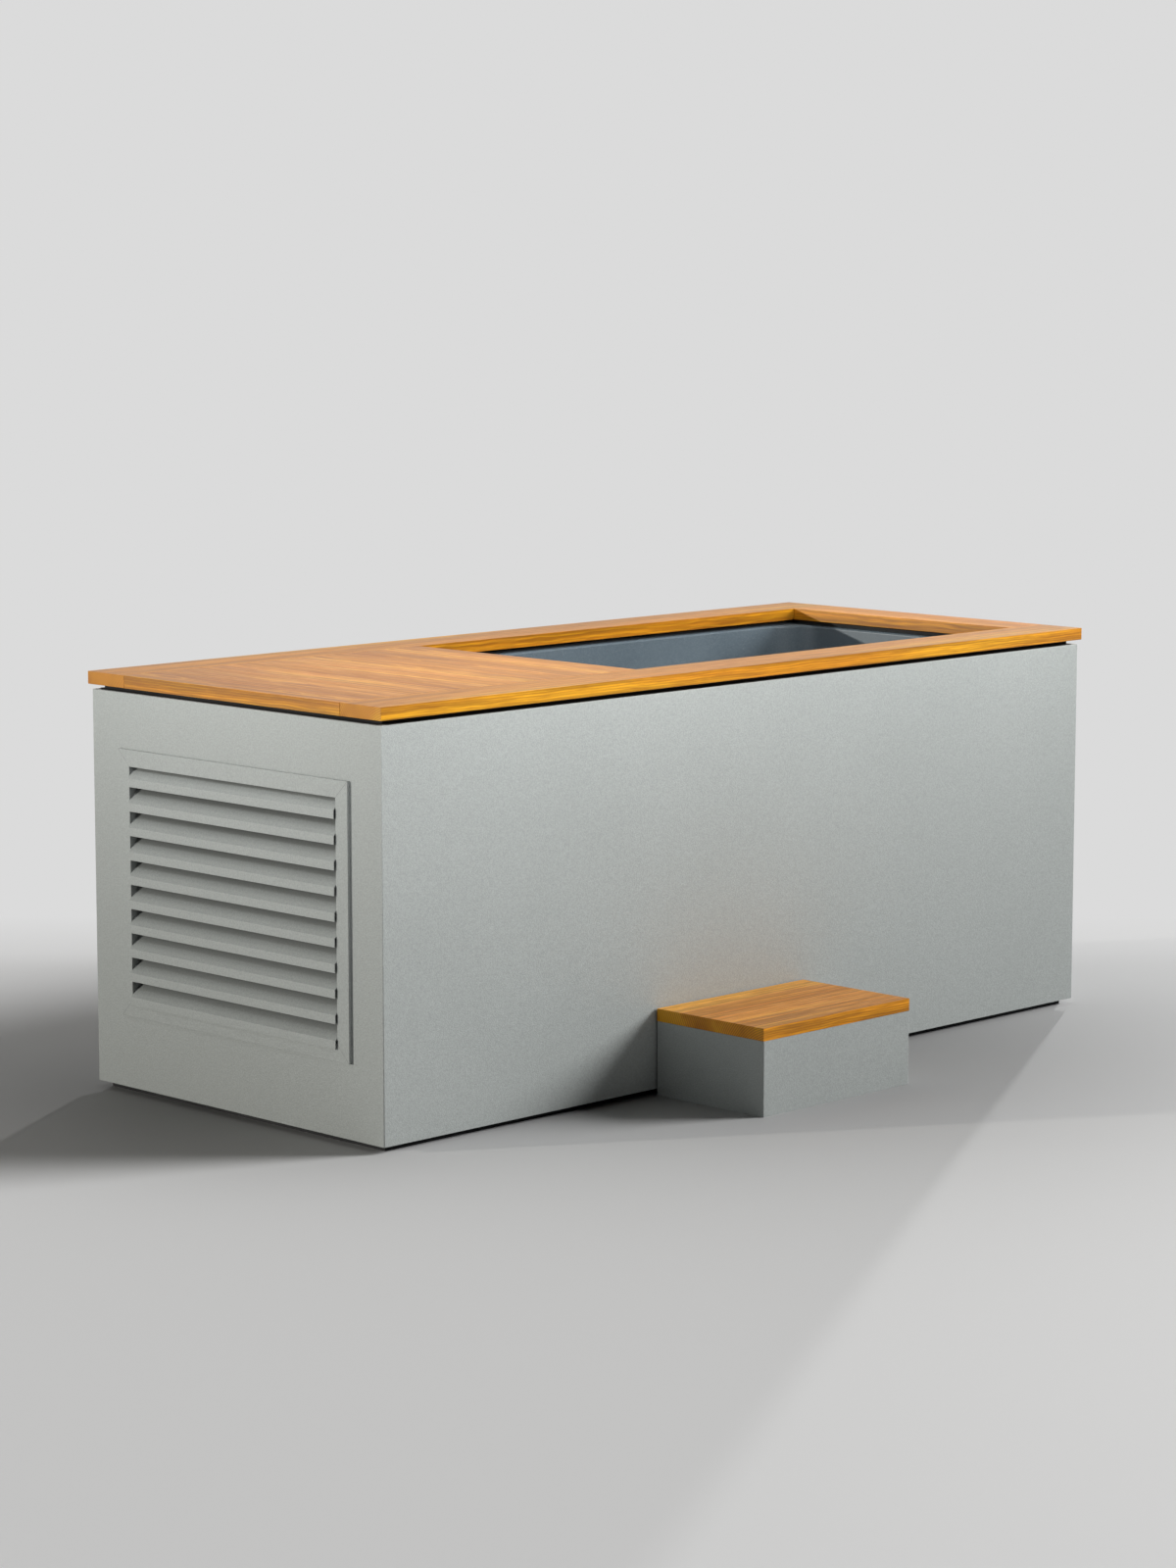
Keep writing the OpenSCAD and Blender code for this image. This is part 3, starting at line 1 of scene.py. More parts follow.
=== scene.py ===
# %% [markdown]
# # A cold plunge tub in Blender
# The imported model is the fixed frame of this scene: sixty parts at their real size, in metres, with the
# origin at the centre of the cabinet's footprint. +X runs towards the tub's far end, -Y towards the step.
# This file gives each part its finish, and redraws the parts whose shape deserves more than the plain
# solid: the timber, the tub, the louvre's blades and the condenser.

import json
import math
import random

import bmesh
import bpy
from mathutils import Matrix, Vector


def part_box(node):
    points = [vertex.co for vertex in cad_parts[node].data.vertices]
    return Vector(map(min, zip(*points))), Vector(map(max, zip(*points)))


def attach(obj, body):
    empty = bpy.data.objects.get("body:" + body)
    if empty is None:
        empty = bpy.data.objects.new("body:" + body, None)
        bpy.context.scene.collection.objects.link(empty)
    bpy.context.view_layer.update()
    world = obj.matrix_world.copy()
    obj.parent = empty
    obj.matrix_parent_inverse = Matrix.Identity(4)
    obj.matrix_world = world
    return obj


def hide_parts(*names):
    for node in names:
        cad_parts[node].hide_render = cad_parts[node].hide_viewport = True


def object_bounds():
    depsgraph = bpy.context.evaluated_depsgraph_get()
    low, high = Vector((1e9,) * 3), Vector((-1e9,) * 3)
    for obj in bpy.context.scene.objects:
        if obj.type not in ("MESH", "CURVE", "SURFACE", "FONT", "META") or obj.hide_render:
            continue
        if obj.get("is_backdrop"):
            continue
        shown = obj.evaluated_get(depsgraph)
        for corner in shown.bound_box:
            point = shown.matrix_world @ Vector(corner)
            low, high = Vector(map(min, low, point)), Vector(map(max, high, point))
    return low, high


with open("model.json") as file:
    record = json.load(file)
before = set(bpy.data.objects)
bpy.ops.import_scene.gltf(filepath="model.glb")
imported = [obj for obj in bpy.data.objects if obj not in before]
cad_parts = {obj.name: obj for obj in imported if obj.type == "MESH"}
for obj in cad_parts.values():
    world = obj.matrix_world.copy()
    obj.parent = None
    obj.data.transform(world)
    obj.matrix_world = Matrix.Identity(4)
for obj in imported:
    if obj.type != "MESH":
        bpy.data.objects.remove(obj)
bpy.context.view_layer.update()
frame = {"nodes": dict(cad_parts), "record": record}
MM = 0.001
slot_of = {row["node"]: row["material_slot"] for row in frame["record"]["subparts"]}
body_of = {n: body for body, nodes in frame["record"]["behaviour"]["bodies"].items() for n in nodes}

# %% [markdown]
# ## Camera
# The camera was solved from the corners of the cabinet in the photograph, so it is given as a place, two
# angles and a focal length in pixels of the 1200 by 1600 frame. Blender wants millimetres on a sensor, and
# the sensor's width belongs to the longer side of the frame.

# %% Camera
CAMERA_AT = Vector((-5.950, -5.8635, 1.7246))
CAMERA_YAW = math.radians(45.097)
CAMERA_PITCH = math.radians(-7.937)
FOCAL_PX = 4047.8
FRAME_LONG_PX = 1600
SENSOR_MM = 36.0

view_flat = Vector((math.sin(CAMERA_YAW), math.cos(CAMERA_YAW), 0.0))
view_way = view_flat * math.cos(CAMERA_PITCH) + Vector((0, 0, math.sin(CAMERA_PITCH)))
camera_data = bpy.data.cameras.new("camera")
camera_data.sensor_width = SENSOR_MM
camera_data.lens = FOCAL_PX / FRAME_LONG_PX * SENSOR_MM
camera = bpy.data.objects.new("camera", camera_data)
camera.location = CAMERA_AT
camera.rotation_euler = view_way.to_track_quat("-Z", "Y").to_euler()
bpy.context.scene.collection.objects.link(camera)
bpy.context.scene.camera = camera
print("lens", round(camera_data.lens, 2), "mm")

# %% [markdown]
# ## Helpers for node trees
# A material is a small graph. A few helpers keep the graphs short to read: they add a node and set its
# inputs, mix and map values, make a group with named sockets, and start a material with its shader.

# %% Node helpers
def feed(tree, socket, value):
    """Links another socket's value into a socket, or sets a plain one."""
    if isinstance(value, bpy.types.NodeSocket):
        tree.links.new(value, socket)
    else:
        socket.default_value = value


def add(tree, kind, settings=None, **inputs):
    """Adds a node; settings are its properties, inputs its sockets by name, or by number as in0, in1."""
    node = tree.nodes.new(kind)
    for key, value in (settings or {}).items():
        setattr(node, key, value)
    for key, value in inputs.items():
        numbered = key.startswith("in") and key[2:].isdigit()
        feed(tree, node.inputs[int(key[2:]) if numbered else key.replace("_", " ")], value)
    return node


def math_node(tree, operation, a, b=0.0, c=None):
    """Maths on one, two or three numbers."""
    third = {} if c is None else {"in2": c}
    return add(tree, "ShaderNodeMath", {"operation": operation}, in0=a, in1=b, **third).outputs[0]


def vector_node(tree, operation, a, b=None):
    """Maths on vectors; b is the second vector, or the number of a SCALE."""
    node = add(tree, "ShaderNodeVectorMath", {"operation": operation}, in0=a)
    if b is not None:
        feed(tree, node.inputs["Scale" if operation == "SCALE" else 1], b)
    return node.outputs["Value" if operation in ("LENGTH", "DOT_PRODUCT") else "Vector"]


def along_axis(tree, vector, axis):
    """One coordinate of a vector; axis is 0, 1 or 2 for X, Y or Z."""
    return add(tree, "ShaderNodeSeparateXYZ", in0=vector).outputs[axis]


print("node helpers ready")

# %% [markdown]
# The Mix node has its own sockets for numbers, vectors and colours under the same names, so the sockets for
# colours are found by their numbers.

# %% Pattern and colour helpers
MIX_FACTOR, MIX_FROM, MIX_TO = 0, 6, 7
MIX_RESULT = 2


def noise(tree, vector, scale, detail=3.0, roughness=0.5):
    """Noise texture; scale is in features per metre."""
    return add(tree, "ShaderNodeTexNoise", Vector=vector, Scale=scale, Detail=detail, Roughness=roughness)


def ramp(tree, value, stops):
    """Colour ramp; stops are (position, colour) pairs."""
    node = add(tree, "ShaderNodeValToRGB", Fac=value)
    elements = node.color_ramp.elements
    while len(elements) < len(stops):
        elements.new(1.0)
    for element, (position, color) in zip(elements, stops):
        element.position = position
        element.color = (*color, 1.0)
    return node.outputs["Color"]


def shade_of(color, share):
    """A darker shade of a colour, from the share of its light that is left."""
    return tuple(channel * share for channel in color)


def mix_color(tree, factor, a, b):
    """Colour that goes from a to b with a factor."""
    node = tree.nodes.new("ShaderNodeMix")
    node.data_type = "RGBA"
    for number, value in ((MIX_FACTOR, factor), (MIX_FROM, a), (MIX_TO, b)):
        feed(tree, node.inputs[number], (*value, 1.0) if isinstance(value, tuple) else value)
    return node.outputs[MIX_RESULT]


def spread(tree, value, low, high, new_low=0.0, new_high=1.0):
    """Maps the band from low to high onto a new one, and clamps to it."""
    node = add(tree, "ShaderNodeMapRange", Value=value)
    for name, number in (("From Min", low), ("From Max", high), ("To Min", new_low), ("To Max", new_high)):
        node.inputs[name].default_value = number
    return node.outputs["Result"]


print("pattern helpers ready")

# %% Group and material helpers
def new_group(name, inputs, outputs):
    """Shader group; inputs and outputs map a socket's name to its kind, an input with its default."""
    tree = bpy.data.node_groups.new(name, "ShaderNodeTree")
    for label, (kind, default) in inputs.items():
        socket = tree.interface.new_socket(label, in_out="INPUT", socket_type=kind)
        if default is not None:
            socket.default_value = default
    for label, kind in outputs.items():
        tree.interface.new_socket(label, in_out="OUTPUT", socket_type=kind)
    return tree, tree.nodes.new("NodeGroupInput"), tree.nodes.new("NodeGroupOutput")


def use_group(tree, group, **inputs):
    """Places a group in a material with its own values."""
    node = tree.nodes.new("ShaderNodeGroup")
    node.node_tree = group
    for key, value in inputs.items():
        feed(tree, node.inputs[key.replace("_", " ")], value)
    return node


def new_material(name, roughness=0.5, metallic=0.0, **shader_values):
    """Returns a material, its tree, its Principled shader and Object coordinates."""
    material = bpy.data.materials.new(name)
    material.use_nodes = True
    tree = material.node_tree
    shader = tree.nodes["Principled BSDF"]
    shader.inputs["Roughness"].default_value = roughness
    shader.inputs["Metallic"].default_value = metallic
    for key, value in shader_values.items():
        shader.inputs[key.replace("_", " ")].default_value = value
    return material, tree, shader, tree.nodes.new("ShaderNodeTexCoord").outputs["Object"]


def bump(tree, shader, height, depth, strength):
    """Relief in the surface's shading; depth is its height in metres."""
    node = add(tree, "ShaderNodeBump", Height=height, Distance=depth, Strength=strength)
    tree.links.new(node.outputs["Normal"], shader.inputs["Normal"])


print("material helpers ready")

# %% [markdown]
# ## Handling marks
# No factory finish is perfectly even. Larger soft patches come from handling and wiping, finer ones from the
# coating itself. Both are noise at two sizes, so they are one shared group: Tone varies the colour a little
# and Rough varies the gloss. Every finish but the timber places it with its own scale.

# %% Shared group: handling marks
PATCH_SHARE, FINE_SHARE = 0.6, 0.4
WIPED_BAND = (0.3, 0.7)


def build_marks_group():
    tree, source, sink = new_group(
        "handling_marks",
        {"Vector": ("NodeSocketVector", None), "Patch": ("NodeSocketFloat", 3.0),
         "Grain": ("NodeSocketFloat", 60.0)},
        {"Tone": "NodeSocketFloat", "Rough": "NodeSocketFloat"},
    )
    patch = noise(tree, source.outputs["Vector"], source.outputs["Patch"], detail=3.0).outputs["Fac"]
    fine = noise(tree, source.outputs["Vector"], source.outputs["Grain"], detail=4.0).outputs["Fac"]
    fine_part = math_node(tree, "MULTIPLY", fine, FINE_SHARE)
    tree.links.new(math_node(tree, "MULTIPLY_ADD", patch, PATCH_SHARE, fine_part), sink.inputs["Tone"])
    tree.links.new(spread(tree, patch, *WIPED_BAND), sink.inputs["Rough"])
    return tree


marks_group = build_marks_group()
print("group", marks_group.name, [s.name for s in marks_group.interface.items_tree])

# %% [markdown]
# ## Powder coat
# The cabinet, the louvre and the step box are sheet metal under a sage-grey powder coat with a fine sand
# texture. Powder melts into small round grains, so the relief is a Voronoi pattern about two and a half
# millimetres across with finer noise on it. Three materials use the grains, so they are a shared group: Speck
# darkens some of them a little, and Height is the relief.

# %% Shared group: powder grains
GRAINS_PER_M = 300.0
ROUND_SCALE, ROUND_HEIGHT = 1.4, -0.7
SAND_SCALE, SAND_HEIGHT = 2.4, 0.5


def build_grain_group():
    tree, source, sink = new_group(
        "powder_grains",
        {"Vector": ("NodeSocketVector", None), "Grains": ("NodeSocketFloat", GRAINS_PER_M)},
        {"Speck": "NodeSocketFloat", "Height": "NodeSocketFloat"},
    )
    coords, grains = source.outputs["Vector"], source.outputs["Grains"]
    speck = noise(tree, coords, grains, detail=2.0).outputs["Fac"]
    round_scale = math_node(tree, "MULTIPLY", grains, ROUND_SCALE)
    cells = add(tree, "ShaderNodeTexVoronoi", {"feature": "SMOOTH_F1"}, Vector=coords, Scale=round_scale,
                Smoothness=0.6)
    sand = noise(tree, coords, math_node(tree, "MULTIPLY", grains, SAND_SCALE), detail=2.0).outputs["Fac"]
    sand_part = math_node(tree, "MULTIPLY", sand, SAND_HEIGHT)
    height = math_node(tree, "MULTIPLY_ADD", cells.outputs["Distance"], ROUND_HEIGHT, sand_part)
    tree.links.new(speck, sink.inputs["Speck"])
    tree.links.new(height, sink.inputs["Height"])
    return tree


grain_group = build_grain_group()
print("group", grain_group.name, "grains per metre", GRAINS_PER_M)

# %% Powder coat
SAGE = (0.374, 0.396, 0.386)
SAGE_DARK = (0.350, 0.372, 0.362)
EVEN_BAND = (0.35, 0.65)
SPECK_SHADE, SPECK_SHARE = 0.6, 0.42
COAT_ROUGH = (0.50, 0.62)
COAT_RELIEF = 0.7 * MM


def make_powder_coat(name):
    """Returns the material with its tree, shader, Object coordinates and the colour before it is joined."""
    material, tree, shader, coords = new_material(name, roughness=0.55)
    marks = use_group(tree, marks_group, Vector=coords, Patch=2.2, Grain=90.0)
    grains = use_group(tree, grain_group, Vector=coords, Grains=GRAINS_PER_M)
    color = mix_color(tree, spread(tree, marks.outputs["Tone"], *EVEN_BAND), SAGE_DARK, SAGE)
    speck = spread(tree, grains.outputs["Speck"], *WIPED_BAND, 0.0, SPECK_SHARE)
    tinted = mix_color(tree, speck, color, shade_of(SAGE_DARK, SPECK_SHADE))
    tree.links.new(tinted, shader.inputs["Base Color"])
    tree.links.new(spread(tree, marks.outputs["Rough"], 0.0, 1.0, *COAT_ROUGH), shader.inputs["Roughness"])
    bump(tree, shader, grains.outputs["Height"], COAT_RELIEF, strength=0.6)
    return material, tree, shader, coords, tinted


powder_coat = make_powder_coat("sage_powder_coat")[0]
print("material", powder_coat.name)

# %% [markdown]
# The louvre takes the same coat twice more. Its frame is four mitred lengths, so a hairline runs through each
# corner at 45 degrees, and its sleeve is darkened behind the face with painted shade. Its blades darken
# towards the inside with painted shade, where the lips above them cast shade.

# %% Mitred frame
frame_low, frame_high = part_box("louvre_frame")
MITRE = 1.0 * MM
MITRE_SHADE, MITRE_SHARE = 0.3, 0.75
# Painted shade: past the first 12 mm the sleeve goes nearly black, as the recess behind the face is in shade.
SLEEVE_UNSHADED = 12 * MM
SLEEVE_SHADE, SLEEVE_SHADE_SHARE = 0.04, 0.95


def make_mitred_coat():
    material, tree, shader, coords, tinted = make_powder_coat("sage_mitred")
    middle, half = (frame_low + frame_high) / 2, (frame_high - frame_low) / 2
    offset = vector_node(tree, "ABSOLUTE", vector_node(tree, "SUBTRACT", coords, tuple(middle)))
    inward = vector_node(tree, "SUBTRACT", offset, tuple(half))
    apart = math_node(tree, "SUBTRACT", along_axis(tree, inward, 1), along_axis(tree, inward, 2))
    seam = spread(tree, math_node(tree, "ABSOLUTE", apart), 0.0, MITRE, MITRE_SHARE, 0.0)
    seamed = mix_color(tree, seam, tinted, shade_of(SAGE, MITRE_SHADE))
    # Painted shade on the sleeve, deeper inside the frame.
    shade_from = frame_low.x + SLEEVE_UNSHADED
    sleeve_shade = spread(tree, along_axis(tree, coords, 0), shade_from, shade_from + SLEEVE_UNSHADED, 0.0, SLEEVE_SHADE_SHARE)
    tree.links.new(mix_color(tree, sleeve_shade, seamed, shade_of(SAGE, SLEEVE_SHADE)), shader.inputs["Base Color"])
    return material


mitred_coat = make_mitred_coat()
print("material", mitred_coat.name)

# %% Blades with painted shade
# Painted shade: the blades darken towards the inside, in the shade under each lip.
SHADE_START = 6 * MM
SHADE_DEPTH = 32 * MM
BLADE_SHADE, BLADE_SHADE_SHARE = 0.16, 0.94


def make_blade_coat():
    material, tree, shader, coords, tinted = make_powder_coat("sage_blades")
    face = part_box("louvre_blades")[0].x
    # Painted shade on the blades, deeper towards the inside.
    blade_shade = spread(tree, along_axis(tree, coords, 0), face + SHADE_START, face + SHADE_DEPTH, 0.0, BLADE_SHADE_SHARE)
    tree.links.new(mix_color(tree, blade_shade, tinted, shade_of(SAGE, BLADE_SHADE)), shader.inputs["Base Color"])
    return material


blade_coat = make_blade_coat()
print("material", blade_coat.name)

# %% [markdown]
# ## Timber
# Real timber is a solid pattern: rings round the centre of a log, cut by the faces of the board. So each
# board carries a point attribute called grain, which says where the board lay in its log: x along the
# fibres, y and z across them, measured from the pith. The group turns it into rings, fibres and streaks, and
# the end grain and the arched figure on the faces then come out by themselves and agree at every edge.

# %% Shared group: timber figure
RING = 4.6 * MM
WANDER = 10 * MM
WAVE_SCALE = (6.5, 11.0, 11.0)
STREAK_SCALE = (1.6, 118.0, 118.0)
TINT_SCALE = (0.9, 13.0, 13.0)
FIBRE_SCALE = (15.0, 290.0, 290.0)
VEIN_SCALE = (5.0, 95.0, 95.0)
ACROSS = (0.0, 1.0, 1.0)
NOISE_MIDDLE = (0.5, 0.5, 0.5)
LATE_WOOD = 1.8
RING_EDGE = 0.82
CREST_WIDTH = 0.30
VEIN_BAND = (0.68, 0.78)


def build_timber_group():
    tree, source, sink = new_group(
        "timber_figure",
        {"Grain": ("NodeSocketVector", None), "Ring": ("NodeSocketFloat", RING),
         "Wander": ("NodeSocketFloat", WANDER)},
        {"Rings": "NodeSocketFloat", "Crest": "NodeSocketFloat", "Fibre": "NodeSocketFloat",
         "Streak": "NodeSocketFloat", "Tint": "NodeSocketFloat", "Vein": "NodeSocketFloat"},
    )
    grain = source.outputs["Grain"]

    def pattern(vector, scale, detail, roughness=0.5):
        return noise(tree, vector_node(tree, "MULTIPLY", vector, scale), 1.0, detail, roughness)

    drift = pattern(grain, WAVE_SCALE, detail=2.5).outputs["Color"]
    centred = vector_node(tree, "SUBTRACT", drift, NOISE_MIDDLE)
    sideways = vector_node(tree, "MULTIPLY", centred, ACROSS)
    shifted = vector_node(tree, "ADD", grain, vector_node(tree, "SCALE", sideways, source.outputs["Wander"]))
    radial = vector_node(tree, "LENGTH", vector_node(tree, "MULTIPLY", shifted, ACROSS))
    saw = math_node(tree, "FRACT", math_node(tree, "DIVIDE", radial, source.outputs["Ring"]))
    rise = math_node(tree, "POWER", saw, LATE_WOOD)
    vein = pattern(grain, VEIN_SCALE, detail=1.0).outputs["Fac"]
    results = {
        "Rings": math_node(tree, "MULTIPLY", rise, spread(tree, saw, RING_EDGE, 1.0, 1.0, 0.0)),
        "Crest": spread(tree, saw, 0.0, CREST_WIDTH, 1.0, 0.0),
        "Fibre": pattern(grain, FIBRE_SCALE, detail=4.0, roughness=0.6).outputs["Fac"],
        "Streak": pattern(shifted, STREAK_SCALE, detail=3.0, roughness=0.55).outputs["Fac"],
        "Tint": pattern(shifted, TINT_SCALE, detail=2.0).outputs["Fac"],
        "Vein": spread(tree, vein, *VEIN_BAND),
    }
    for name, value in results.items():
        tree.links.new(value, sink.inputs[name])
    return tree


timber_group = build_timber_group()
print("ring width", RING, "m, wander", WANDER, "m")

# %% [markdown]
# Three more attributes finish a board. Its tone makes it lighter or darker as a whole. Amber makes the
# upright faces, and part of some tops, deeper and yellower than the rest. The mark called end tells where
# fibres are
# cut across: there the streaks, pores and resin fade, and the rings show more.

# %% Oiled timber
HONEY = (0.47, 0.190, 0.015)
AMBER = (0.38, 0.135, 0.010)
STRAW = (0.62, 0.300, 0.035)
BLUSH = (0.50, 0.195, 0.028)
BROWN = (0.22, 0.068, 0.008)
PLUM = (0.20, 0.095, 0.060)
NO_AMBER = (1.0, 1.0, 1.0)
DEEP_AMBER = (0.96, 0.955, 0.30)
TINT_STOPS = [(0.36, AMBER), (0.46, HONEY), (0.55, BLUSH), (0.66, STRAW)]
STREAK_BAND, STREAK_LIGHT = (0.40, 0.60), (0.66, 1.26)
PORE_BAND, PORE_SHARE = (0.42, 0.68), 0.52
CREST_SHARE = 0.50
RESIN_SHARE = 0.45
RING_ON_END, RING_LESS_ON_FLANK = 0.95, 0.33
TIMBER_ROUGH = (0.34, 0.46)
FIBRE_RELIEF = 0.2 * MM


def make_timber(name):
    material, tree, shader, _ = new_material(name, roughness=0.40, Specular_IOR_Level=0.4)
    grain, tone, amber, end = (
        add(tree, "ShaderNodeAttribute", {"attribute_name": name}).outputs
        for name in ("grain", "tone", "amber", "end")
    )
    figure = use_group(tree, timber_group, Grain=grain["Vector"], Ring=RING, Wander=WANDER).outputs
    flank = math_node(tree, "SUBTRACT", 1.0, end["Fac"])

    def share(mask, amount):
        return math_node(tree, "MULTIPLY", mask, amount)

    streak = math_node(tree, "SUBTRACT", spread(tree, figure["Streak"], *STREAK_BAND, *STREAK_LIGHT), 1.0)
    light = math_node(tree, "ADD", share(streak, flank), 1.0)
    warm = ramp(tree, figure["Tint"], TINT_STOPS)
    color = vector_node(tree, "SCALE", warm, share(light, tone["Fac"]))
    ring_share = math_node(tree, "SUBTRACT", RING_ON_END, share(flank, RING_LESS_ON_FLANK))
    color = mix_color(tree, share(figure["Rings"], ring_share), color, BROWN)
    color = mix_color(tree, share(figure["Crest"], CREST_SHARE), color, STRAW)
    pores = spread(tree, figure["Fibre"], *PORE_BAND, 0.0, PORE_SHARE)
    color = mix_color(tree, share(pores, flank), color, BROWN)
    color = mix_color(tree, share(share(figure["Vein"], RESIN_SHARE), flank), color, PLUM)
    # Amber makes the upright faces, and part of the rails' tops, deeper and yellower.
    amber_tint = mix_color(tree, amber["Fac"], NO_AMBER, DEEP_AMBER)
    tree.links.new(vector_node(tree, "MULTIPLY", color, amber_tint), shader.inputs["Base Color"])
    tree.links.new(spread(tree, figure["Fibre"], *WIPED_BAND, *TIMBER_ROUGH), shader.inputs["Roughness"])
    bump(tree, shader, figure["Fibre"], FIBRE_RELIEF, strength=0.5)
    return material


timber = make_timber("oiled_timber")
print("material", timber.name)

# %% [markdown]
# ## The other finishes
# The tub's coating is a blue-grey with tiny pale specks. Under the hatch are the finishes of a plant room:
# galvanised steel with its spangle, grey pipe, moulded plastics, painted castings, brass and copper. Each is
# a few nodes round the same handling marks, so one function makes them from a colour and a few numbers.

# %% Tub coating
TUB_DEEP = (0.074, 0.098, 0.116)
TUB_PALE = (0.094, 0.122, 0.142)
FLECK = (0.33, 0.38, 0.41)
FLECKS_PER_M = 900.0
FLECK_BAND, FLECK_SHARE = (0.60, 0.70), 0.55
TUB_ROUGH = (0.32, 0.44)
PEEL_PER_M, PEEL_RELIEF = 700.0, 0.4 * MM


def make_tub_coating():
    material, tree, shader, coords = new_material("tub_coating", roughness=0.38)
    marks = use_group(tree, marks_group, Vector=coords, Patch=4.0, Grain=240.0)
    body = mix_color(tree, spread(tree, marks.outputs["Tone"], *EVEN_BAND), TUB_DEEP, TUB_PALE)
    fleck = noise(tree, coords, FLECKS_PER_M, detail=1.0).outputs["Fac"]
    flecked = mix_color(tree, spread(tree, fleck, *FLECK_BAND, 0.0, FLECK_SHARE), body, FLECK)
    tree.links.new(flecked, shader.inputs["Base Color"])
    tree.links.new(spread(tree, marks.outputs["Rough"], 0.0, 1.0, *TUB_ROUGH), shader.inputs["Roughness"])
    bump(tree, shader, noise(tree, coords, PEEL_PER_M, detail=2.0).outputs["Fac"], PEEL_RELIEF, strength=0.35)
    return material


tub_coating = make_tub_coating()
print("material", tub_coating.name)

# %% Plain finishes
DIRT_SHADE = 0.62
DIRT_BAND = (0.35, 0.68)
SHINIER, DULLER = 0.08, 0.1
CRYSTALS_PER_M, CRYSTAL_ROUGH = 75.0, 0.2


def make_finish(name, color, roughness, metallic=0.0, spangle=0.0, dirt=0.25, relief=0.1 * MM, grain=120.0):
    """Finish from a colour and a roughness; spangle adds the crystal pattern of galvanised steel."""
    material, tree, shader, coords = new_material(name, roughness=roughness, metallic=metallic)
    marks = use_group(tree, marks_group, Vector=coords, Patch=5.0, Grain=grain)
    dark = shade_of(color, DIRT_SHADE)
    tone = mix_color(tree, spread(tree, marks.outputs["Tone"], *DIRT_BAND, dirt, 0.0), color, dark)
    rough = spread(tree, marks.outputs["Rough"], 0.0, 1.0, roughness - SHINIER, roughness + DULLER)
    if spangle:
        cells = add(tree, "ShaderNodeTexVoronoi", {"feature": "F1"}, Vector=coords, Scale=CRYSTALS_PER_M)
        facet = add(tree, "ShaderNodeSeparateColor", Color=cells.outputs["Color"]).outputs[0]
        tone = mix_color(tree, math_node(tree, "MULTIPLY", facet, spangle), tone, dark)
        rough = math_node(tree, "MULTIPLY_ADD", facet, CRYSTAL_ROUGH, rough)
    tree.links.new(tone, shader.inputs["Base Color"])
    tree.links.new(rough, shader.inputs["Roughness"])
    bump(tree, shader, noise(tree, coords, grain * 4, detail=3.0).outputs["Fac"], relief, strength=0.4)
    return material


print("dirt", DIRT_SHADE, "crystals per metre", CRYSTALS_PER_M)

# %% [markdown]
# Each material slot of the part gets one finish, under the slot's own name.

# %% Finish of each slot
finishes = {
    "cabinet_paint": powder_coat,
    "timber": timber,
    "tub_finish": tub_coating,
    "black_board": make_finish("black_board", (0.006, 0.006, 0.007), 0.8, dirt=0.5),
    "frame_steel": make_finish("galvanised_steel", (0.55, 0.57, 0.58), 0.42, 0.9, spangle=0.5),
    "stainless": make_finish("brushed_stainless", (0.62, 0.62, 0.61), 0.30, 1.0, relief=0.01 * MM),
    "foam": make_finish("rigid_foam", (0.80, 0.70, 0.42), 0.95, relief=1.2 * MM, grain=160.0, dirt=0.5),
    "grey_pvc": make_finish("grey_pipe", (0.15, 0.16, 0.175), 0.45),
    "white_plastic": make_finish("white_plastic", (0.78, 0.79, 0.79), 0.32, dirt=0.12),
    "cartridge_paper": make_finish("filter_cloth", (0.80, 0.82, 0.82), 0.9, grain=500.0),
    "handle_red": make_finish("red_handle", (0.48, 0.035, 0.03), 0.35),
    "blue_plastic": make_finish("blue_lid", (0.03, 0.08, 0.24), 0.35),
    "brass": make_finish("brass_body", (0.72, 0.52, 0.22), 0.34, 1.0, dirt=0.6),
    "black_plastic": make_finish("black_plastic", (0.022, 0.022, 0.024), 0.5),
    "motor_paint": make_finish("motor_paint", (0.045, 0.095, 0.16), 0.45, relief=0.4 * MM),
    "impeller_metal": make_finish("machined_steel", (0.55, 0.55, 0.55), 0.3, 1.0),
    "tray_metal": make_finish("mill_aluminium", (0.60, 0.61, 0.62), 0.4, 1.0),
    "coil_metal": make_finish("fin_aluminium", (0.66, 0.67, 0.68), 0.38, 1.0),
    "black_paint": make_finish("black_paint", (0.012, 0.012, 0.013), 0.3),
    "copper_tube": make_finish("copper_tube", (0.62, 0.29, 0.16), 0.33, 1.0, dirt=0.9),
    "box_plastic": make_finish("box_plastic", (0.62, 0.63, 0.64), 0.5, relief=0.3 * MM, grain=300.0),
    "key_plastic": make_finish("key_plastic", (0.08, 0.08, 0.085), 0.45),
}
print("finishes", len(finishes))

# %% [markdown]
# ## Placing a piece
# A finished piece rides on the body of the part that it stands for, takes the part's material slot and
# hides the plain part. Its object stays at the origin, so its place is in its mesh. Flat faces keep their
# own normals and curved ones are smooth, which a sharp-edge angle and area-weighted normals give.

# %% Mesh helpers
SHARP = math.radians(32)


def block(bm, low, high):
    """Adds a closed box between two corners."""
    made = bmesh.ops.create_cube(bm, size=1.0)["verts"]
    for v in made:
        v.co = Vector([low[i] + (v.co[i] + 0.5) * (high[i] - low[i]) for i in range(3)])


def join_rings(bm, lower, upper):
    """Joins two rings of vertices with a band of faces."""
    count = len(lower)
    for k in range(count):
        n = (k + 1) % count
        bm.faces.new((lower[k], lower[n], upper[n], upper[k]))


def loft(bm, rings):
    """Joins a list of rings in order and closes both ends."""
    for lower, upper in zip(rings, rings[1:]):
        join_rings(bm, lower, upper)
    bm.faces.new(rings[0])
    bm.faces.new(list(reversed(rings[-1])))
    bmesh.ops.recalc_face_normals(bm, faces=bm.faces)


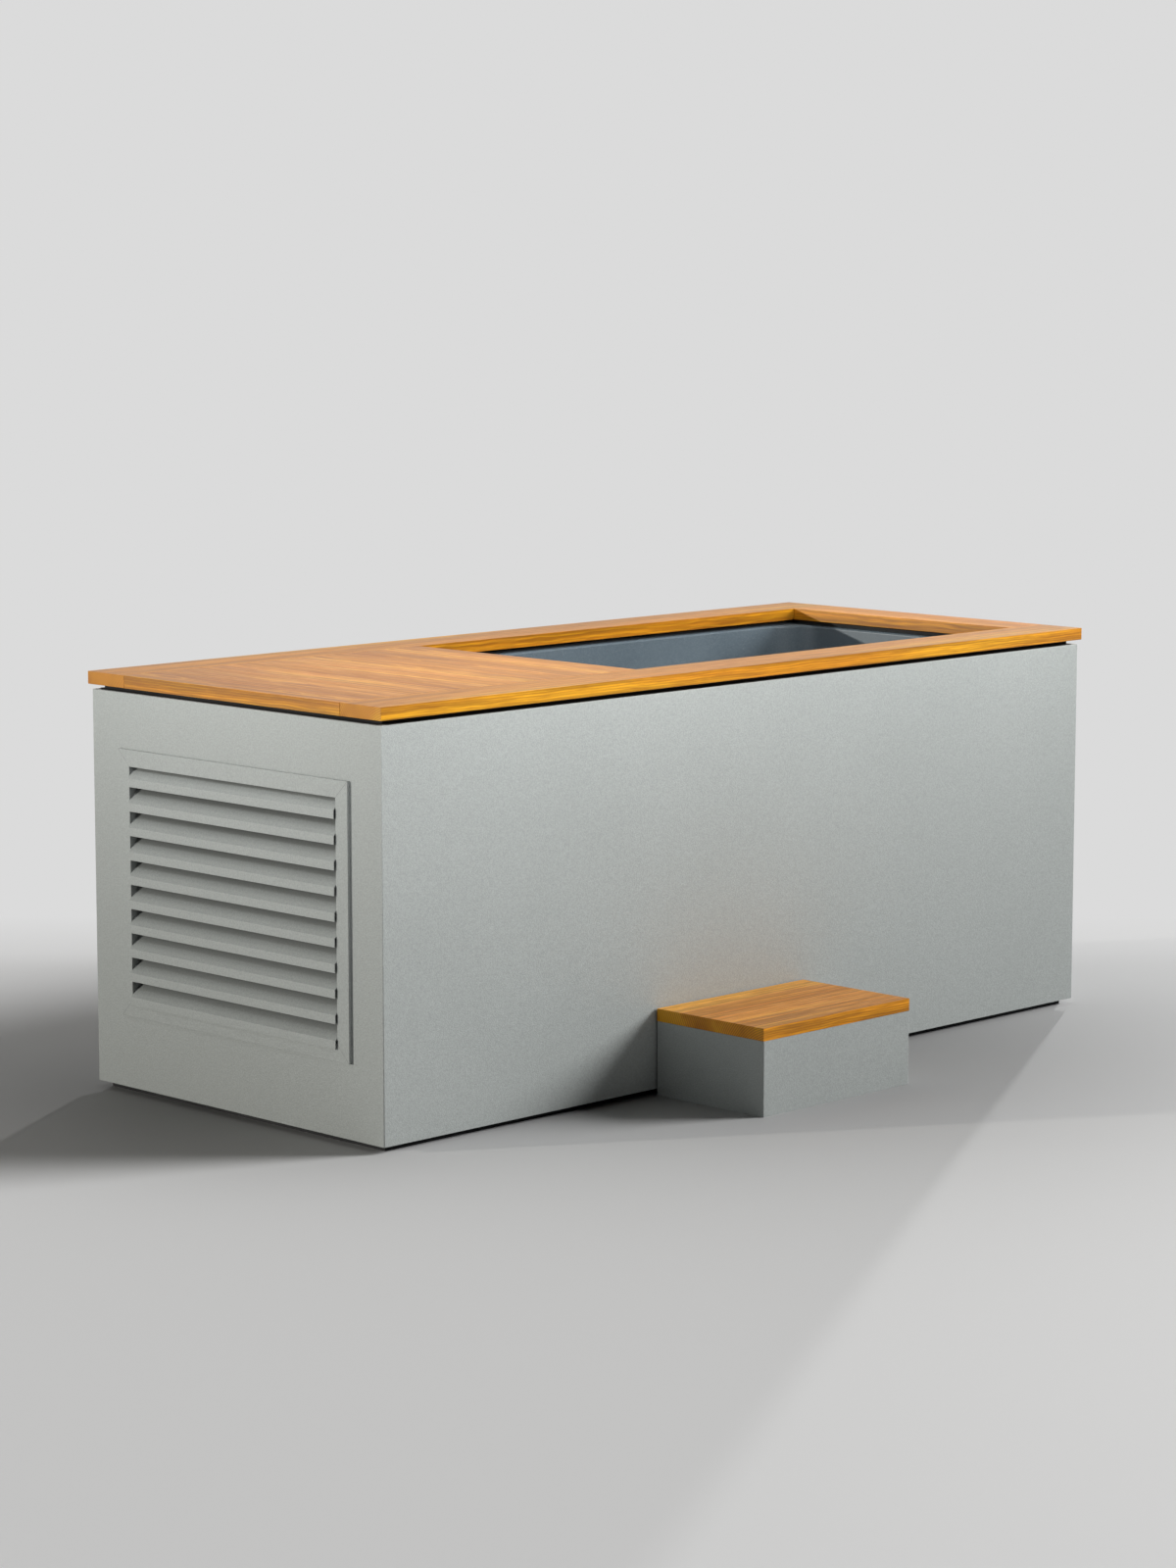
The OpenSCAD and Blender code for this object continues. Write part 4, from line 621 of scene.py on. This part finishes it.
def object_from(bm, name, material):
    """Turns a bmesh into a linked object with one material."""
    mesh = bpy.data.meshes.new(name)
    bm.to_mesh(mesh)
    bm.free()
    mesh.materials.append(material)
    piece = bpy.data.objects.new(name, mesh)
    bpy.context.scene.collection.objects.link(piece)
    return piece


def baked(piece):
    """Replaces a piece's mesh with its evaluated one, and removes the modifiers."""
    graph = bpy.context.evaluated_depsgraph_get()
    graph.update()
    mesh = bpy.data.meshes.new_from_object(piece.evaluated_get(graph))
    piece.modifiers.clear()
    piece.data = mesh
    return piece


def soften(piece, bevel=0.0, angle=SHARP):
    """Smooth shading with sharp edges kept, and a small rounding of those edges where bevel is given."""
    piece.data.shade_smooth()
    piece.data.set_sharp_from_angle(angle=angle)
    if bevel:
        rounding = piece.modifiers.new("rounding", "BEVEL")
        rounding.width = bevel
        rounding.segments = 2
        rounding.limit_method = "ANGLE"
        rounding.angle_limit = angle
        rounding.harden_normals = True
    weighted = piece.modifiers.new("normals", "WEIGHTED_NORMAL")
    weighted.keep_sharp = True
    return baked(piece)


print("mesh helpers ready")

# %% Placing helpers
OWN_COAT = {"louvre_frame": mitred_coat}
SAME_POINT = 0.02 * MM
NO_LENGTH = 0.01 * MM


def place(piece, node):
    """Lets a piece ride with its part and hides the plain part."""
    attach(piece, body_of[node])
    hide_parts(node)
    return piece


def merged_copy(node):
    """bmesh of a part with its loose triangles joined."""
    bm = bmesh.new()
    bm.from_mesh(frame["nodes"][node].data)
    bmesh.ops.remove_doubles(bm, verts=bm.verts, dist=SAME_POINT)
    bmesh.ops.dissolve_degenerate(bm, edges=bm.edges, dist=NO_LENGTH)
    return bm


def dress(node, bevel=0.0):
    """Piece with a part's own shape, smooth where it is curved and rounded at its edges."""
    coat = OWN_COAT.get(node, finishes[slot_of[node]])
    piece = object_from(merged_copy(node), node + "_finished", coat)
    return place(soften(piece, bevel), node)


print("placing helpers ready")

# %% [markdown]
# ## Sheet metal and hardware
# These parts have the right shape already. The copy only joins the loose triangles, so that rounded edges
# and pipes shade smoothly, and gives the parts that show an edge small enough to catch a line of light.

# %% Dress the parts that keep their shape
EDGE_ROUNDING = {
    "louvre_frame": 0.6 * MM,
    "step_box": 0.5 * MM,
    "suction_cover": 0.5 * MM,
    "return_fitting": 0.5 * MM,
    "pump_stand": 0.8 * MM,
    "control_box": 1.2 * MM,
    "filter_lid": 0.8 * MM,
}
REPLACED_LATER = {"front_rail", "back_rail", "end_rail", "hatch_boards", "step_board", "tub_shell",
                  "louvre_blades", "condenser"}
for node in sorted(frame["nodes"]):
    if node not in REPLACED_LATER:
        dress(node, EDGE_ROUNDING.get(node, 0.0))
print("dressed", len(frame["nodes"]) - len(REPLACED_LATER), "parts")

# %% [markdown]
# A thin black strip lies on the folds of the front, left and back sheets beside the black spacers. It is
# painted shade: it makes the gap under the timber read as one black line up to the sheet's edge.

# %% Black strip of painted shade on the folds
SHADE_STRIP = 1.0 * MM
SHADE_STRIP_EDGE = 4.0 * MM

spacer_low, spacer_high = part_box("shadow_gap_spacers")
sheet_low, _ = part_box("front_panel")
sheet_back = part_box("back_panel")[1].y
# Painted shade: a black strip laid over the part of each fold inside the gap that light would reach.
shade_strip_z = (spacer_low.z, spacer_low.z + SHADE_STRIP)
bm = bmesh.new()
for y0, y1 in ((sheet_low.y + SHADE_STRIP_EDGE, spacer_low.y), (spacer_high.y, sheet_back - SHADE_STRIP_EDGE)):
    block(bm, (spacer_low.x, y0, shade_strip_z[0]), (spacer_high.x, y1, shade_strip_z[1]))
block(bm, (sheet_low.x + SHADE_STRIP_EDGE, spacer_low.y, shade_strip_z[0]), (spacer_low.x, spacer_high.y, shade_strip_z[1]))
shade_strip = object_from(bm, "fold_shade_strip", finishes["black_board"])
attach(shade_strip, "cabinet")
print("tape from", round(shade_strip_z[0], 4), "to", round(shade_strip_z[1], 4))

# %% [markdown]
# ## Timber boards
# The top is a frame of three rails round the opening and a field of boards over the chiller bay. The rails
# run their full length along the sides, so their end grain shows at the left end. Each board is a box with
# fine rounded edges. Its grain attribute puts the pith beside and below it, by a different amount for each
# board, and that is what makes one board figured and the next one plain. The marks for oil and for end grain
# go on flat faces only, and fade over the rounded edges between them.

# %% Board maker
FACES_ALONG, FACES_ACROSS = 0.99, 0.01


def mark_faces(piece, attribute, value, wanted):
    """Gives the corners of the wanted faces a value, and leaves the others at what they have."""
    marks = piece.data.attributes.get(attribute) or piece.data.attributes.new(attribute, "FLOAT", "POINT")
    for face in piece.data.polygons:
        if wanted(face.normal):
            for i in face.vertices:
                marks.data[i].value = value


def make_board(name, low, high, along, pith, start, edge, shade, top_amber=0.0):
    """Board between two corners; along is 0 or 1 for fibres along X or Y; pith is its offset in the log."""
    bm = bmesh.new()
    block(bm, low, high)
    bmesh.ops.bevel(bm, geom=bm.edges[:], offset=edge, segments=2, profile=0.5, affect="EDGES")
    piece = object_from(bm, name, timber)
    grain = piece.data.attributes.new("grain", "FLOAT_VECTOR", "POINT")
    middle = (low + high) / 2
    for i, v in enumerate(piece.data.vertices):
        near = v.co - middle
        fibre, across = (near.x, near.y) if along == 0 else (near.y, -near.x)
        grain.data[i].vector = (fibre + start, across + pith[0], near.z + pith[1])
    tone = piece.data.attributes.new("tone", "FLOAT", "POINT")
    for value in tone.data:
        value.value = shade
    mark_faces(piece, "amber", top_amber, lambda normal: normal.z > FACES_ALONG)
    mark_faces(piece, "amber", 1.0, lambda normal: abs(normal.z) < FACES_ACROSS)
    mark_faces(piece, "end", 1.0, lambda normal: abs(normal[along]) > FACES_ALONG)
    return soften(piece)


print("boards are marked with grain, tone, amber and end")

# %% [markdown]
# Each row says which way the fibres run, where the pith lies, where along the log the board starts, how light
# it is and how much amber its top takes. The step's board and the end rail are the lightest: their tone is
# painted light, standing in for light on them that the lamps don't give.

# %% Rails and the step's board
RAIL_EDGE = 1.0 * MM
# Painted light: the tones 1.34 and 1.46 of the end rail and the step's board stand in for light on them.
RAILS = {
    "front_rail": (0, (0.080, 0.066), 3.1, 1.02, 0.50),
    "back_rail": (0, (-0.085, 0.060), 9.4, 1.00, 0.50),
    "end_rail": (1, (0.070, 0.060), 14.2, 1.34, 0.55),
    "step_board": (0, (0.180, 0.090), 21.7, 1.46, 0.0),
}
for node, (along, pith, start, shade, top_amber) in RAILS.items():
    low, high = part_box(node)
    place(make_board(node + "_timber", low, high, along, pith, start, RAIL_EDGE, shade, top_amber), node)
print("rails and step board", len(RAILS))

# %% [markdown]
# The hatch is a field of eight boards with hairline joints, fibres across the tub. Their piths, starts and
# tones are drawn at random with a fixed seed, so they come out the same each time.

# %% Hatch boards
BOARD_COUNT = 8
BOARD_GAP = 0.3 * MM
BOARD_EDGE = 0.4 * MM
BOARD_SEED = 11
PITH_BESIDE, PITH_BELOW = (-0.06, 0.06), (0.06, 0.12)
LOG_STARTS, BOARD_TONES = (0, 40), (0.92, 1.0)
low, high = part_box("hatch_boards")
board_pitch = (high.x - low.x + BOARD_GAP) / BOARD_COUNT
draw = random.Random(BOARD_SEED)
for i in range(BOARD_COUNT):
    first = Vector((low.x + i * board_pitch, low.y, low.z))
    last = Vector((first.x + board_pitch - BOARD_GAP, high.y, high.z))
    pith = (draw.uniform(*PITH_BESIDE), draw.uniform(*PITH_BELOW))
    start = draw.uniform(*LOG_STARTS)
    shade = draw.uniform(*BOARD_TONES)
    place(make_board(f"hatch_board_{i + 1}", first, last, 1, pith, start, BOARD_EDGE, shade), "hatch_boards")
print("hatch boards", BOARD_COUNT, "pitch", round(board_pitch, 4))

# %% [markdown]
# ## The tub
# The tub is pressed and welded sheet: a flat rim under the timber, a small roll into the wall, upright
# corners of 80 mm and a rounded foot. It is a loft: a list of rounded rectangles, each with the same number
# of points, joined ring to ring. The inside runs from the floor up to the rim, and the outside back down,
# so the shell is closed and three millimetres thick.

# %% Tub sections
TUB_CORNER = 80 * MM
TUB_FOOT = 30 * MM
RIM_ROLL = 6 * MM
RIM_CORNER = 4 * MM
SHEET = 3 * MM
CORNER_STEPS, FOOT_STEPS, ROLL_STEPS = 14, 8, 6
rim_low, rim_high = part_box("tub_shell")
inner_x0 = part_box("hatch_boards")[1].x
inner_x1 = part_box("end_rail")[0].x
inner_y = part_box("back_rail")[0].y
floor_z = rim_low.z + SHEET


def rounded_ring(bm, x0, x1, y, radius, z):
    """Ring of vertices round a rounded rectangle, anticlockwise from above."""
    ring = []
    corners = [(x1 - radius, y - radius, 0), (x0 + radius, y - radius, 90),
               (x0 + radius, radius - y, 180), (x1 - radius, radius - y, 270)]
    for cx, cy, turn in corners:
        for k in range(CORNER_STEPS + 1):
            a = math.radians(turn + 90 * k / CORNER_STEPS)
            ring.append(bm.verts.new((cx + radius * math.cos(a), cy + radius * math.sin(a), z)))
    return ring


def wall_sections(grow, bottom, top, roll):
    """Inset and height of the wall's sections grown outwards, from the foot up to the roll under the rim."""
    sections = []
    for k in range(FOOT_STEPS + 1):
        a = math.radians(90 * k / FOOT_STEPS)
        inset = TUB_FOOT * (1 - math.sin(a))
        sections.append((inset - grow, bottom + (TUB_FOOT + grow) * (1 - math.cos(a))))
    for k in range(ROLL_STEPS + 1):
        a = math.radians(90 * k / ROLL_STEPS)
        sections.append((-grow - roll * (1 - math.cos(a)), top - roll * (1 - math.sin(a))))
    return sections


def wall_ring(bm, inset, z):
    """Section of the wall at an inset from the opening and a height."""
    x0, x1 = inner_x0 + inset, inner_x1 - inset
    return rounded_ring(bm, x0, x1, inner_y - inset, TUB_CORNER - inset, z)


print("inside of the tub", round(inner_x1 - inner_x0, 3), "x", round(2 * inner_y, 3))

# %% Tub loft
bm = bmesh.new()
rings = [wall_ring(bm, inset, z) for inset, z in wall_sections(0.0, floor_z, rim_high.z, RIM_ROLL)]
for z in (rim_high.z, rim_high.z - SHEET):
    rings.append(rounded_ring(bm, rim_low.x, rim_high.x, rim_high.y, RIM_CORNER, z))
outside = wall_sections(SHEET, rim_low.z, rim_high.z - SHEET, RIM_ROLL - SHEET)
rings += [wall_ring(bm, inset, z) for inset, z in reversed(outside)]
loft(bm, rings)
tub = object_from(bm, "tub_loft", tub_coating)
print("tub rings", len(rings))

# %% [markdown]
# The suction, the return and the floor drain pass through the sheet. Three cutters drill the loft where the
# fittings sit, read from the fittings' own boxes, and the cutters are deleted once the cut is baked.

# %% Holes in the tub
HOLE_R = 24.3 * MM
CUTTER_DEPTH = 30 * MM
DRAIN_FLANGE_R = 36 * MM
TUB_SHARP = math.radians(40)
TURN_TO_X = Vector((1, 0, 0)).to_track_quat("Z", "Y").to_matrix()


def cutter(at, turn=None):
    """Short upright cylinder for a hole through the sheet, turned where it is given a turn."""
    bm = bmesh.new()
    bmesh.ops.create_cone(bm, cap_ends=True, segments=48, radius1=HOLE_R, radius2=HOLE_R, depth=CUTTER_DEPTH)
    if turn is not None:
        bmesh.ops.rotate(bm, verts=bm.verts, cent=(0, 0, 0), matrix=turn)
    bmesh.ops.translate(bm, verts=bm.verts, vec=at)
    return object_from(bm, "cutter", tub_coating)


holes = []
for node in ("suction_fitting", "return_fitting"):
    low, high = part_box(node)
    holes.append(cutter(Vector((inner_x0, (low.y + high.y) / 2, (low.z + high.z) / 2)), TURN_TO_X))
drain_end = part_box("floor_drain")[1].x
holes.append(cutter(Vector((drain_end - DRAIN_FLANGE_R, 0, floor_z))))
for hole in holes:
    cut = tub.modifiers.new("cut", "BOOLEAN")
    cut.object = hole
    cut.solver = "EXACT"
baked(tub)
for hole in holes:
    bpy.data.objects.remove(hole)
place(soften(tub, angle=TUB_SHARP), "tub_shell")
print("tub faces", len(tub.data.polygons))

# %% [markdown]
# ## Louvre blades
# Ten equal blades: a lip that hangs at the front and a slope that runs in and up behind it. One blade is
# drawn with fine rounded edges, and Geometry Nodes repeats it downwards. The tree has named inputs for the
# count and the pitch, and ends in Realize Instances and Set Material so that real faces come out of it.

# %% Repeating tree
def build_repeat_tree():
    """Geometry Nodes tree: repeats the incoming mesh along a step vector."""
    tree = bpy.data.node_groups.new("repeat_along", "GeometryNodeTree")
    for label, kind in (("Geometry", "NodeSocketGeometry"), ("Count", "NodeSocketInt"),
                        ("Step", "NodeSocketVector"), ("Material", "NodeSocketMaterial")):
        tree.interface.new_socket(label, in_out="INPUT", socket_type=kind)
    tree.interface.new_socket("Geometry", in_out="OUTPUT", socket_type="NodeSocketGeometry")
    source = tree.nodes.new("NodeGroupInput")
    sink = tree.nodes.new("NodeGroupOutput")
    line = tree.nodes.new("GeometryNodeMeshLine")
    on_points = tree.nodes.new("GeometryNodeInstanceOnPoints")
    realize = tree.nodes.new("GeometryNodeRealizeInstances")
    paint = tree.nodes.new("GeometryNodeSetMaterial")
    links = tree.links
    links.new(source.outputs["Count"], line.inputs["Count"])
    links.new(source.outputs["Step"], line.inputs["Offset"])
    links.new(line.outputs["Mesh"], on_points.inputs["Points"])
    links.new(source.outputs["Geometry"], on_points.inputs["Instance"])
    links.new(on_points.outputs["Instances"], realize.inputs["Geometry"])
    links.new(realize.outputs["Geometry"], paint.inputs["Geometry"])
    links.new(source.outputs["Material"], paint.inputs["Material"])
    links.new(paint.outputs["Geometry"], sink.inputs["Geometry"])
    return tree


def repeat(piece, tree, **values):
    """Runs the tree on a piece with its inputs set by socket identifier, and bakes the result."""
    modifier = piece.modifiers.new("repeat", "NODES")
    modifier.node_group = tree
    for item in tree.interface.items_tree:
        if item.item_type == "SOCKET" and item.in_out == "INPUT" and item.name in values:
            modifier[item.identifier] = values[item.name]
    return baked(piece)


repeat_tree = build_repeat_tree()
print("tree", repeat_tree.name)

# %% One blade, then ten
BLADES = 10
BLADE_PITCH = 49.2 * MM
LIP = 17 * MM
RUN = 44 * MM
BLADE_SHEET = 2 * MM
BLADE_EDGE = 0.5 * MM
SLOPE = math.radians(45)
blade_low, blade_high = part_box("louvre_blades")
lip_bottom = blade_high.z - LIP - RUN
slant = BLADE_SHEET * math.sin(SLOPE)
inner_lip = LIP - BLADE_SHEET * math.tan(SLOPE / 2)
section = [(0, 0), (0, LIP), (RUN, LIP + RUN), (RUN + slant, LIP + RUN - slant), (BLADE_SHEET, inner_lip),
           (BLADE_SHEET, 0)]
bm = bmesh.new()
loft(bm, [[bm.verts.new((blade_low.x + u, y, lip_bottom + w)) for u, w in section]
          for y in (blade_low.y, blade_high.y)])
bmesh.ops.bevel(bm, geom=bm.edges[:], offset=BLADE_EDGE, segments=2, profile=0.5, affect="EDGES")
blades = object_from(bm, "louvre_blade_set", blade_coat)
repeat(blades, repeat_tree, Count=BLADES, Step=(0.0, 0.0, -BLADE_PITCH), Material=blade_coat)
place(soften(blades), "louvre_blades")
print("blades", BLADES, "lowest", round(blade_low.z, 4))

# %% [markdown]
# ## Condenser
# Behind the louvre stands the condenser: a stack of thin fins on copper tubes between two plates. The part is
# a plain block for its weight, so the fins are made here, one thin sheet repeated across the width. The
# tubes' return bends are circles lofted round a half turn, outside the plates, where the part has them.

# %% Condenser fins
FIN_PITCH = 3.0 * MM
FIN = 0.35 * MM
coil_low, coil_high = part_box("condenser")
shroud_low, shroud_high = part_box("fan_shroud")
coil_z0, coil_y = shroud_low.z, shroud_high.y
first_fin = -coil_y + FIN_PITCH
bm = bmesh.new()
block(bm, (coil_low.x, first_fin, coil_z0), (coil_high.x, first_fin + FIN, coil_high.z))
fins = object_from(bm, "condenser_fins", finishes["coil_metal"])
fin_count = int((2 * coil_y - 2 * FIN_PITCH) / FIN_PITCH) + 1
repeat(fins, repeat_tree, Count=fin_count, Step=(0.0, FIN_PITCH, 0.0), Material=finishes["coil_metal"])
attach(fins, "cabinet")
print("fins", fin_count)

# %% End plates and feet
PLATE = 2 * MM
FOOT = 40 * MM
PLATE_EDGE = 0.5 * MM
bm = bmesh.new()
for side in (-1, 1):
    y0, y1 = sorted((side * coil_y, side * (coil_y + PLATE)))
    block(bm, (coil_low.x, y0, coil_z0), (coil_high.x, y1, coil_high.z))
    y0, y1 = sorted((side * (coil_y - FOOT), side * coil_y))
    block(bm, (coil_low.x, y0, coil_low.z), (coil_high.x, y1, coil_z0))
plates = object_from(bm, "condenser_plates", finishes["tray_metal"])
place(soften(plates, PLATE_EDGE), "condenser")
print("plates from", round(coil_low.z, 3), "to", round(coil_high.z, 3))

# %% Copper bends
TUBE_R = 4.7 * MM
BEND_R = 10 * MM
BEND_OUT = 1.0 * MM
TUBE_PITCH = 40 * MM
FIRST_BEND = 34 * MM
ENDS_FREE = 45 * MM
BEND_STEPS, TUBE_SIDES = 12, 12
UP = Vector((0, 0, 1))
tube_rows = int((coil_high.z - coil_z0 - ENDS_FREE) / TUBE_PITCH)
mid_x = (coil_low.x + coil_high.x) / 2


def bend_rings(bm, pivot, side):
    """Circles along a half turn about the pivot; side is -1 or 1 for the way it bulges."""
    for k in range(BEND_STEPS + 1):
        a = math.pi * k / BEND_STEPS
        out = Vector((-math.cos(a), side * math.sin(a), 0))
        middle = pivot + BEND_R * out
        turns = [2 * math.pi * j / TUBE_SIDES for j in range(TUBE_SIDES)]
        yield [bm.verts.new(middle + TUBE_R * (out * math.cos(t) + UP * math.sin(t))) for t in turns]


bm = bmesh.new()
for side in (-1, 1):
    for row in range(tube_rows):
        pivot = Vector((mid_x, side * (coil_y + BEND_OUT), coil_z0 + FIRST_BEND + row * TUBE_PITCH))
        loft(bm, list(bend_rings(bm, pivot, side)))
bends = object_from(bm, "condenser_bends", finishes["copper_tube"])
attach(soften(bends), "cabinet")
print("bends", 2 * tube_rows)

# %% [markdown]
# ## Studio
# The photograph has a pale backdrop that glows evenly, and a grey floor that ends in it about nine and a half
# metres from the camera. The world shows its pale tone to the camera, and in mirrored rays only behind the
# object. What it sheds is a faint even light and a faint glow from the wall behind the object.

# %% Backdrop
BACKDROP = 0.708
AMBIENT_COLOR, AMBIENT = (0.97, 0.98, 1.0, 1.0), 0.015
WALL_BAND, WALL = (-0.1, 0.5), 0.05
backdrop_color = (BACKDROP, BACKDROP, BACKDROP, 1.0)
world = bpy.data.worlds.new("studio")
world.use_nodes = True
bpy.context.scene.world = world
sky_tree = world.node_tree
for old in list(sky_tree.nodes):
    sky_tree.nodes.remove(old)
seen = add(sky_tree, "ShaderNodeBackground", Color=backdrop_color, Strength=1.0)
ambient = add(sky_tree, "ShaderNodeBackground", Color=AMBIENT_COLOR, Strength=AMBIENT)
outward = sky_tree.nodes.new("ShaderNodeTexCoord").outputs["Generated"]
backward = vector_node(sky_tree, "DOT_PRODUCT", outward, tuple(view_flat))
wall_part = spread(sky_tree, backward, *WALL_BAND)
wall = add(sky_tree, "ShaderNodeBackground", Color=wall_part, Strength=WALL)
around = add(sky_tree, "ShaderNodeAddShader", in0=ambient.outputs[0], in1=wall.outputs[0])
rays = sky_tree.nodes.new("ShaderNodeLightPath")
mirrored = math_node(sky_tree, "MULTIPLY", rays.outputs["Is Glossy Ray"], wall_part)
shown = math_node(sky_tree, "MAXIMUM", rays.outputs["Is Camera Ray"], mirrored)
choose = add(sky_tree, "ShaderNodeMixShader", in0=shown, in1=around.outputs[0], in2=seen.outputs[0])
sky_out = sky_tree.nodes.new("ShaderNodeOutputWorld")
sky_tree.links.new(choose.outputs[0], sky_out.inputs["Surface"])
print("backdrop", BACKDROP, "wall", WALL)

# %% [markdown]
# The floor is one wide matt plane that takes shadows, and past its line it fades into the backdrop's tone.
# The photograph's floor is darker round the step and under the louvred end than these lights make it. Two
# soft round pools in the floor's colour stand for that shade, each with a middle, a reach and a depth.

# %% Floor
FLOOR_TONE = 0.77
FLOOR_ROUGH = 0.75
FLOOR_END = 9.585
FLOOR_FADE = 0.35
FLOOR_HALF = 30.0
SHADE_POOLS = (((0.174, -0.115, 0.0), 1.131, 0.70), ((-0.80, 0.171, 0.0), 0.538, 0.72))


def make_floor_material():
    material, tree, shader, coords = new_material("studio_floor", roughness=FLOOR_ROUGH)
    shade = 1.0
    for middle, reach, depth in SHADE_POOLS:
        apart = vector_node(tree, "LENGTH", vector_node(tree, "SUBTRACT", coords, middle))
        squared = math_node(tree, "POWER", math_node(tree, "DIVIDE", apart, reach), 2.0)
        falloff = math_node(tree, "EXPONENT", math_node(tree, "MULTIPLY", squared, -1.0))
        shade = math_node(tree, "MULTIPLY", shade, math_node(tree, "MULTIPLY_ADD", falloff, -depth, 1.0))
    tree.links.new(vector_node(tree, "SCALE", (FLOOR_TONE,) * 3, shade), shader.inputs["Base Color"])
    glow = add(tree, "ShaderNodeEmission", Color=backdrop_color, Strength=1.0)
    from_camera = vector_node(tree, "SUBTRACT", coords, tuple(CAMERA_AT))
    away = vector_node(tree, "DOT_PRODUCT", from_camera, tuple(view_flat))
    past = spread(tree, away, FLOOR_END - FLOOR_FADE, FLOOR_END + FLOOR_FADE)
    direct = tree.nodes.new("ShaderNodeLightPath").outputs["Is Camera Ray"]
    part = math_node(tree, "MULTIPLY", past, direct)
    blend = add(tree, "ShaderNodeMixShader", in0=part, in1=shader.outputs[0], in2=glow.outputs[0])
    tree.links.new(blend.outputs[0], tree.nodes["Material Output"].inputs["Surface"])
    return material


bm = bmesh.new()
corners = ((-1, -1), (1, -1), (1, 1), (-1, 1))
bm.faces.new([bm.verts.new((x * FLOOR_HALF, y * FLOOR_HALF, 0)) for x, y in corners])
floor = object_from(bm, "studio_floor", make_floor_material())
floor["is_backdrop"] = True
no_floor = bpy.data.collections.new("not_on_the_floor")
no_floor.objects.link(floor)
no_floor.collection_objects[0].light_linking.link_state = "EXCLUDE"
print("floor ends", FLOOR_END, "m from the camera")

# %% [markdown]
# Three parallel lights shape the object. The key comes from the front right and throws the step's shadow on
# the cabinet. A low one from the back left lights the louvred end. A third, low from the back right, draws
# the bright wedge on the floor. Their directions come from the shadows in the photograph. Three soft lights
# lift the timber's top and its front and left edges, and are kept off the floor. The key and the overhead
# light give no glare, because the key's would burn the timber's top white as seen from behind.

# %% Lights
SUN_SHOWN_AT = 8.0


def sun_light(name, toward, width_degrees, strength, color=(1, 1, 1)):
    """Parallel light from a direction, with the softness of a source so many degrees wide."""
    data = bpy.data.lights.new(name, "SUN")
    data.angle = math.radians(width_degrees)
    data.energy = strength
    data.color = color
    lamp = bpy.data.objects.new(name, data)
    lamp.rotation_euler = (-Vector(toward)).to_track_quat("-Z", "Y").to_euler()
    lamp.location = Vector(toward).normalized() * SUN_SHOWN_AT
    bpy.context.scene.collection.objects.link(lamp)
    return lamp


def area_light(name, at, aim, size, watts, spread_degrees):
    """Soft light at a place that shines onto the aim point."""
    data = bpy.data.lights.new(name, "AREA")
    data.shape = "RECTANGLE"
    data.size, data.size_y = size
    data.energy = watts
    data.spread = math.radians(spread_degrees)
    lamp = bpy.data.objects.new(name, data)
    lamp.location = at
    lamp.rotation_euler = (Vector(aim) - Vector(at)).to_track_quat("-Z", "Y").to_euler()
    lamp.visible_camera = False
    bpy.context.scene.collection.objects.link(lamp)
    return lamp


key = sun_light("key", toward=(1.0, -0.65, 0.545), width_degrees=25, strength=4.4)
sun_light("left_back", toward=(-0.85, 0.53, 0.16), width_degrees=1.0, strength=1.93, color=(1.0, 0.975, 0.91))
sun_light("right_back", toward=(0.86, 0.50, 0.13), width_degrees=1.5, strength=1.0)
front_strip = area_light("front_strip", at=(0.4, -1.4, 1.5), aim=(0.4, -0.43, 1.108), size=(3.6, 0.4),
                         watts=10.6, spread_degrees=84)
left_strip = area_light("left_strip", at=(-2.0, 0.1, 1.5), aim=(-1.044, 0.1, 1.108), size=(1.4, 0.4),
                        watts=3.3, spread_degrees=76)
overhead = area_light("overhead", at=(0.12, 0.0, 1.75), aim=(0.12, 0.0, 0.85), size=(1.9, 0.7),
                      watts=2.6, spread_degrees=40)
key.visible_glossy = False
overhead.visible_glossy = False
for lamp in (front_strip, left_strip, overhead):
    lamp.light_linking.receiver_collection = no_floor
bpy.context.scene.view_settings.view_transform = "Standard"

# %% [markdown]
# ## Sizes
# The box of what shows is measured over every shown piece but the floor.

# %% Measure the box of what shows
low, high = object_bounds()
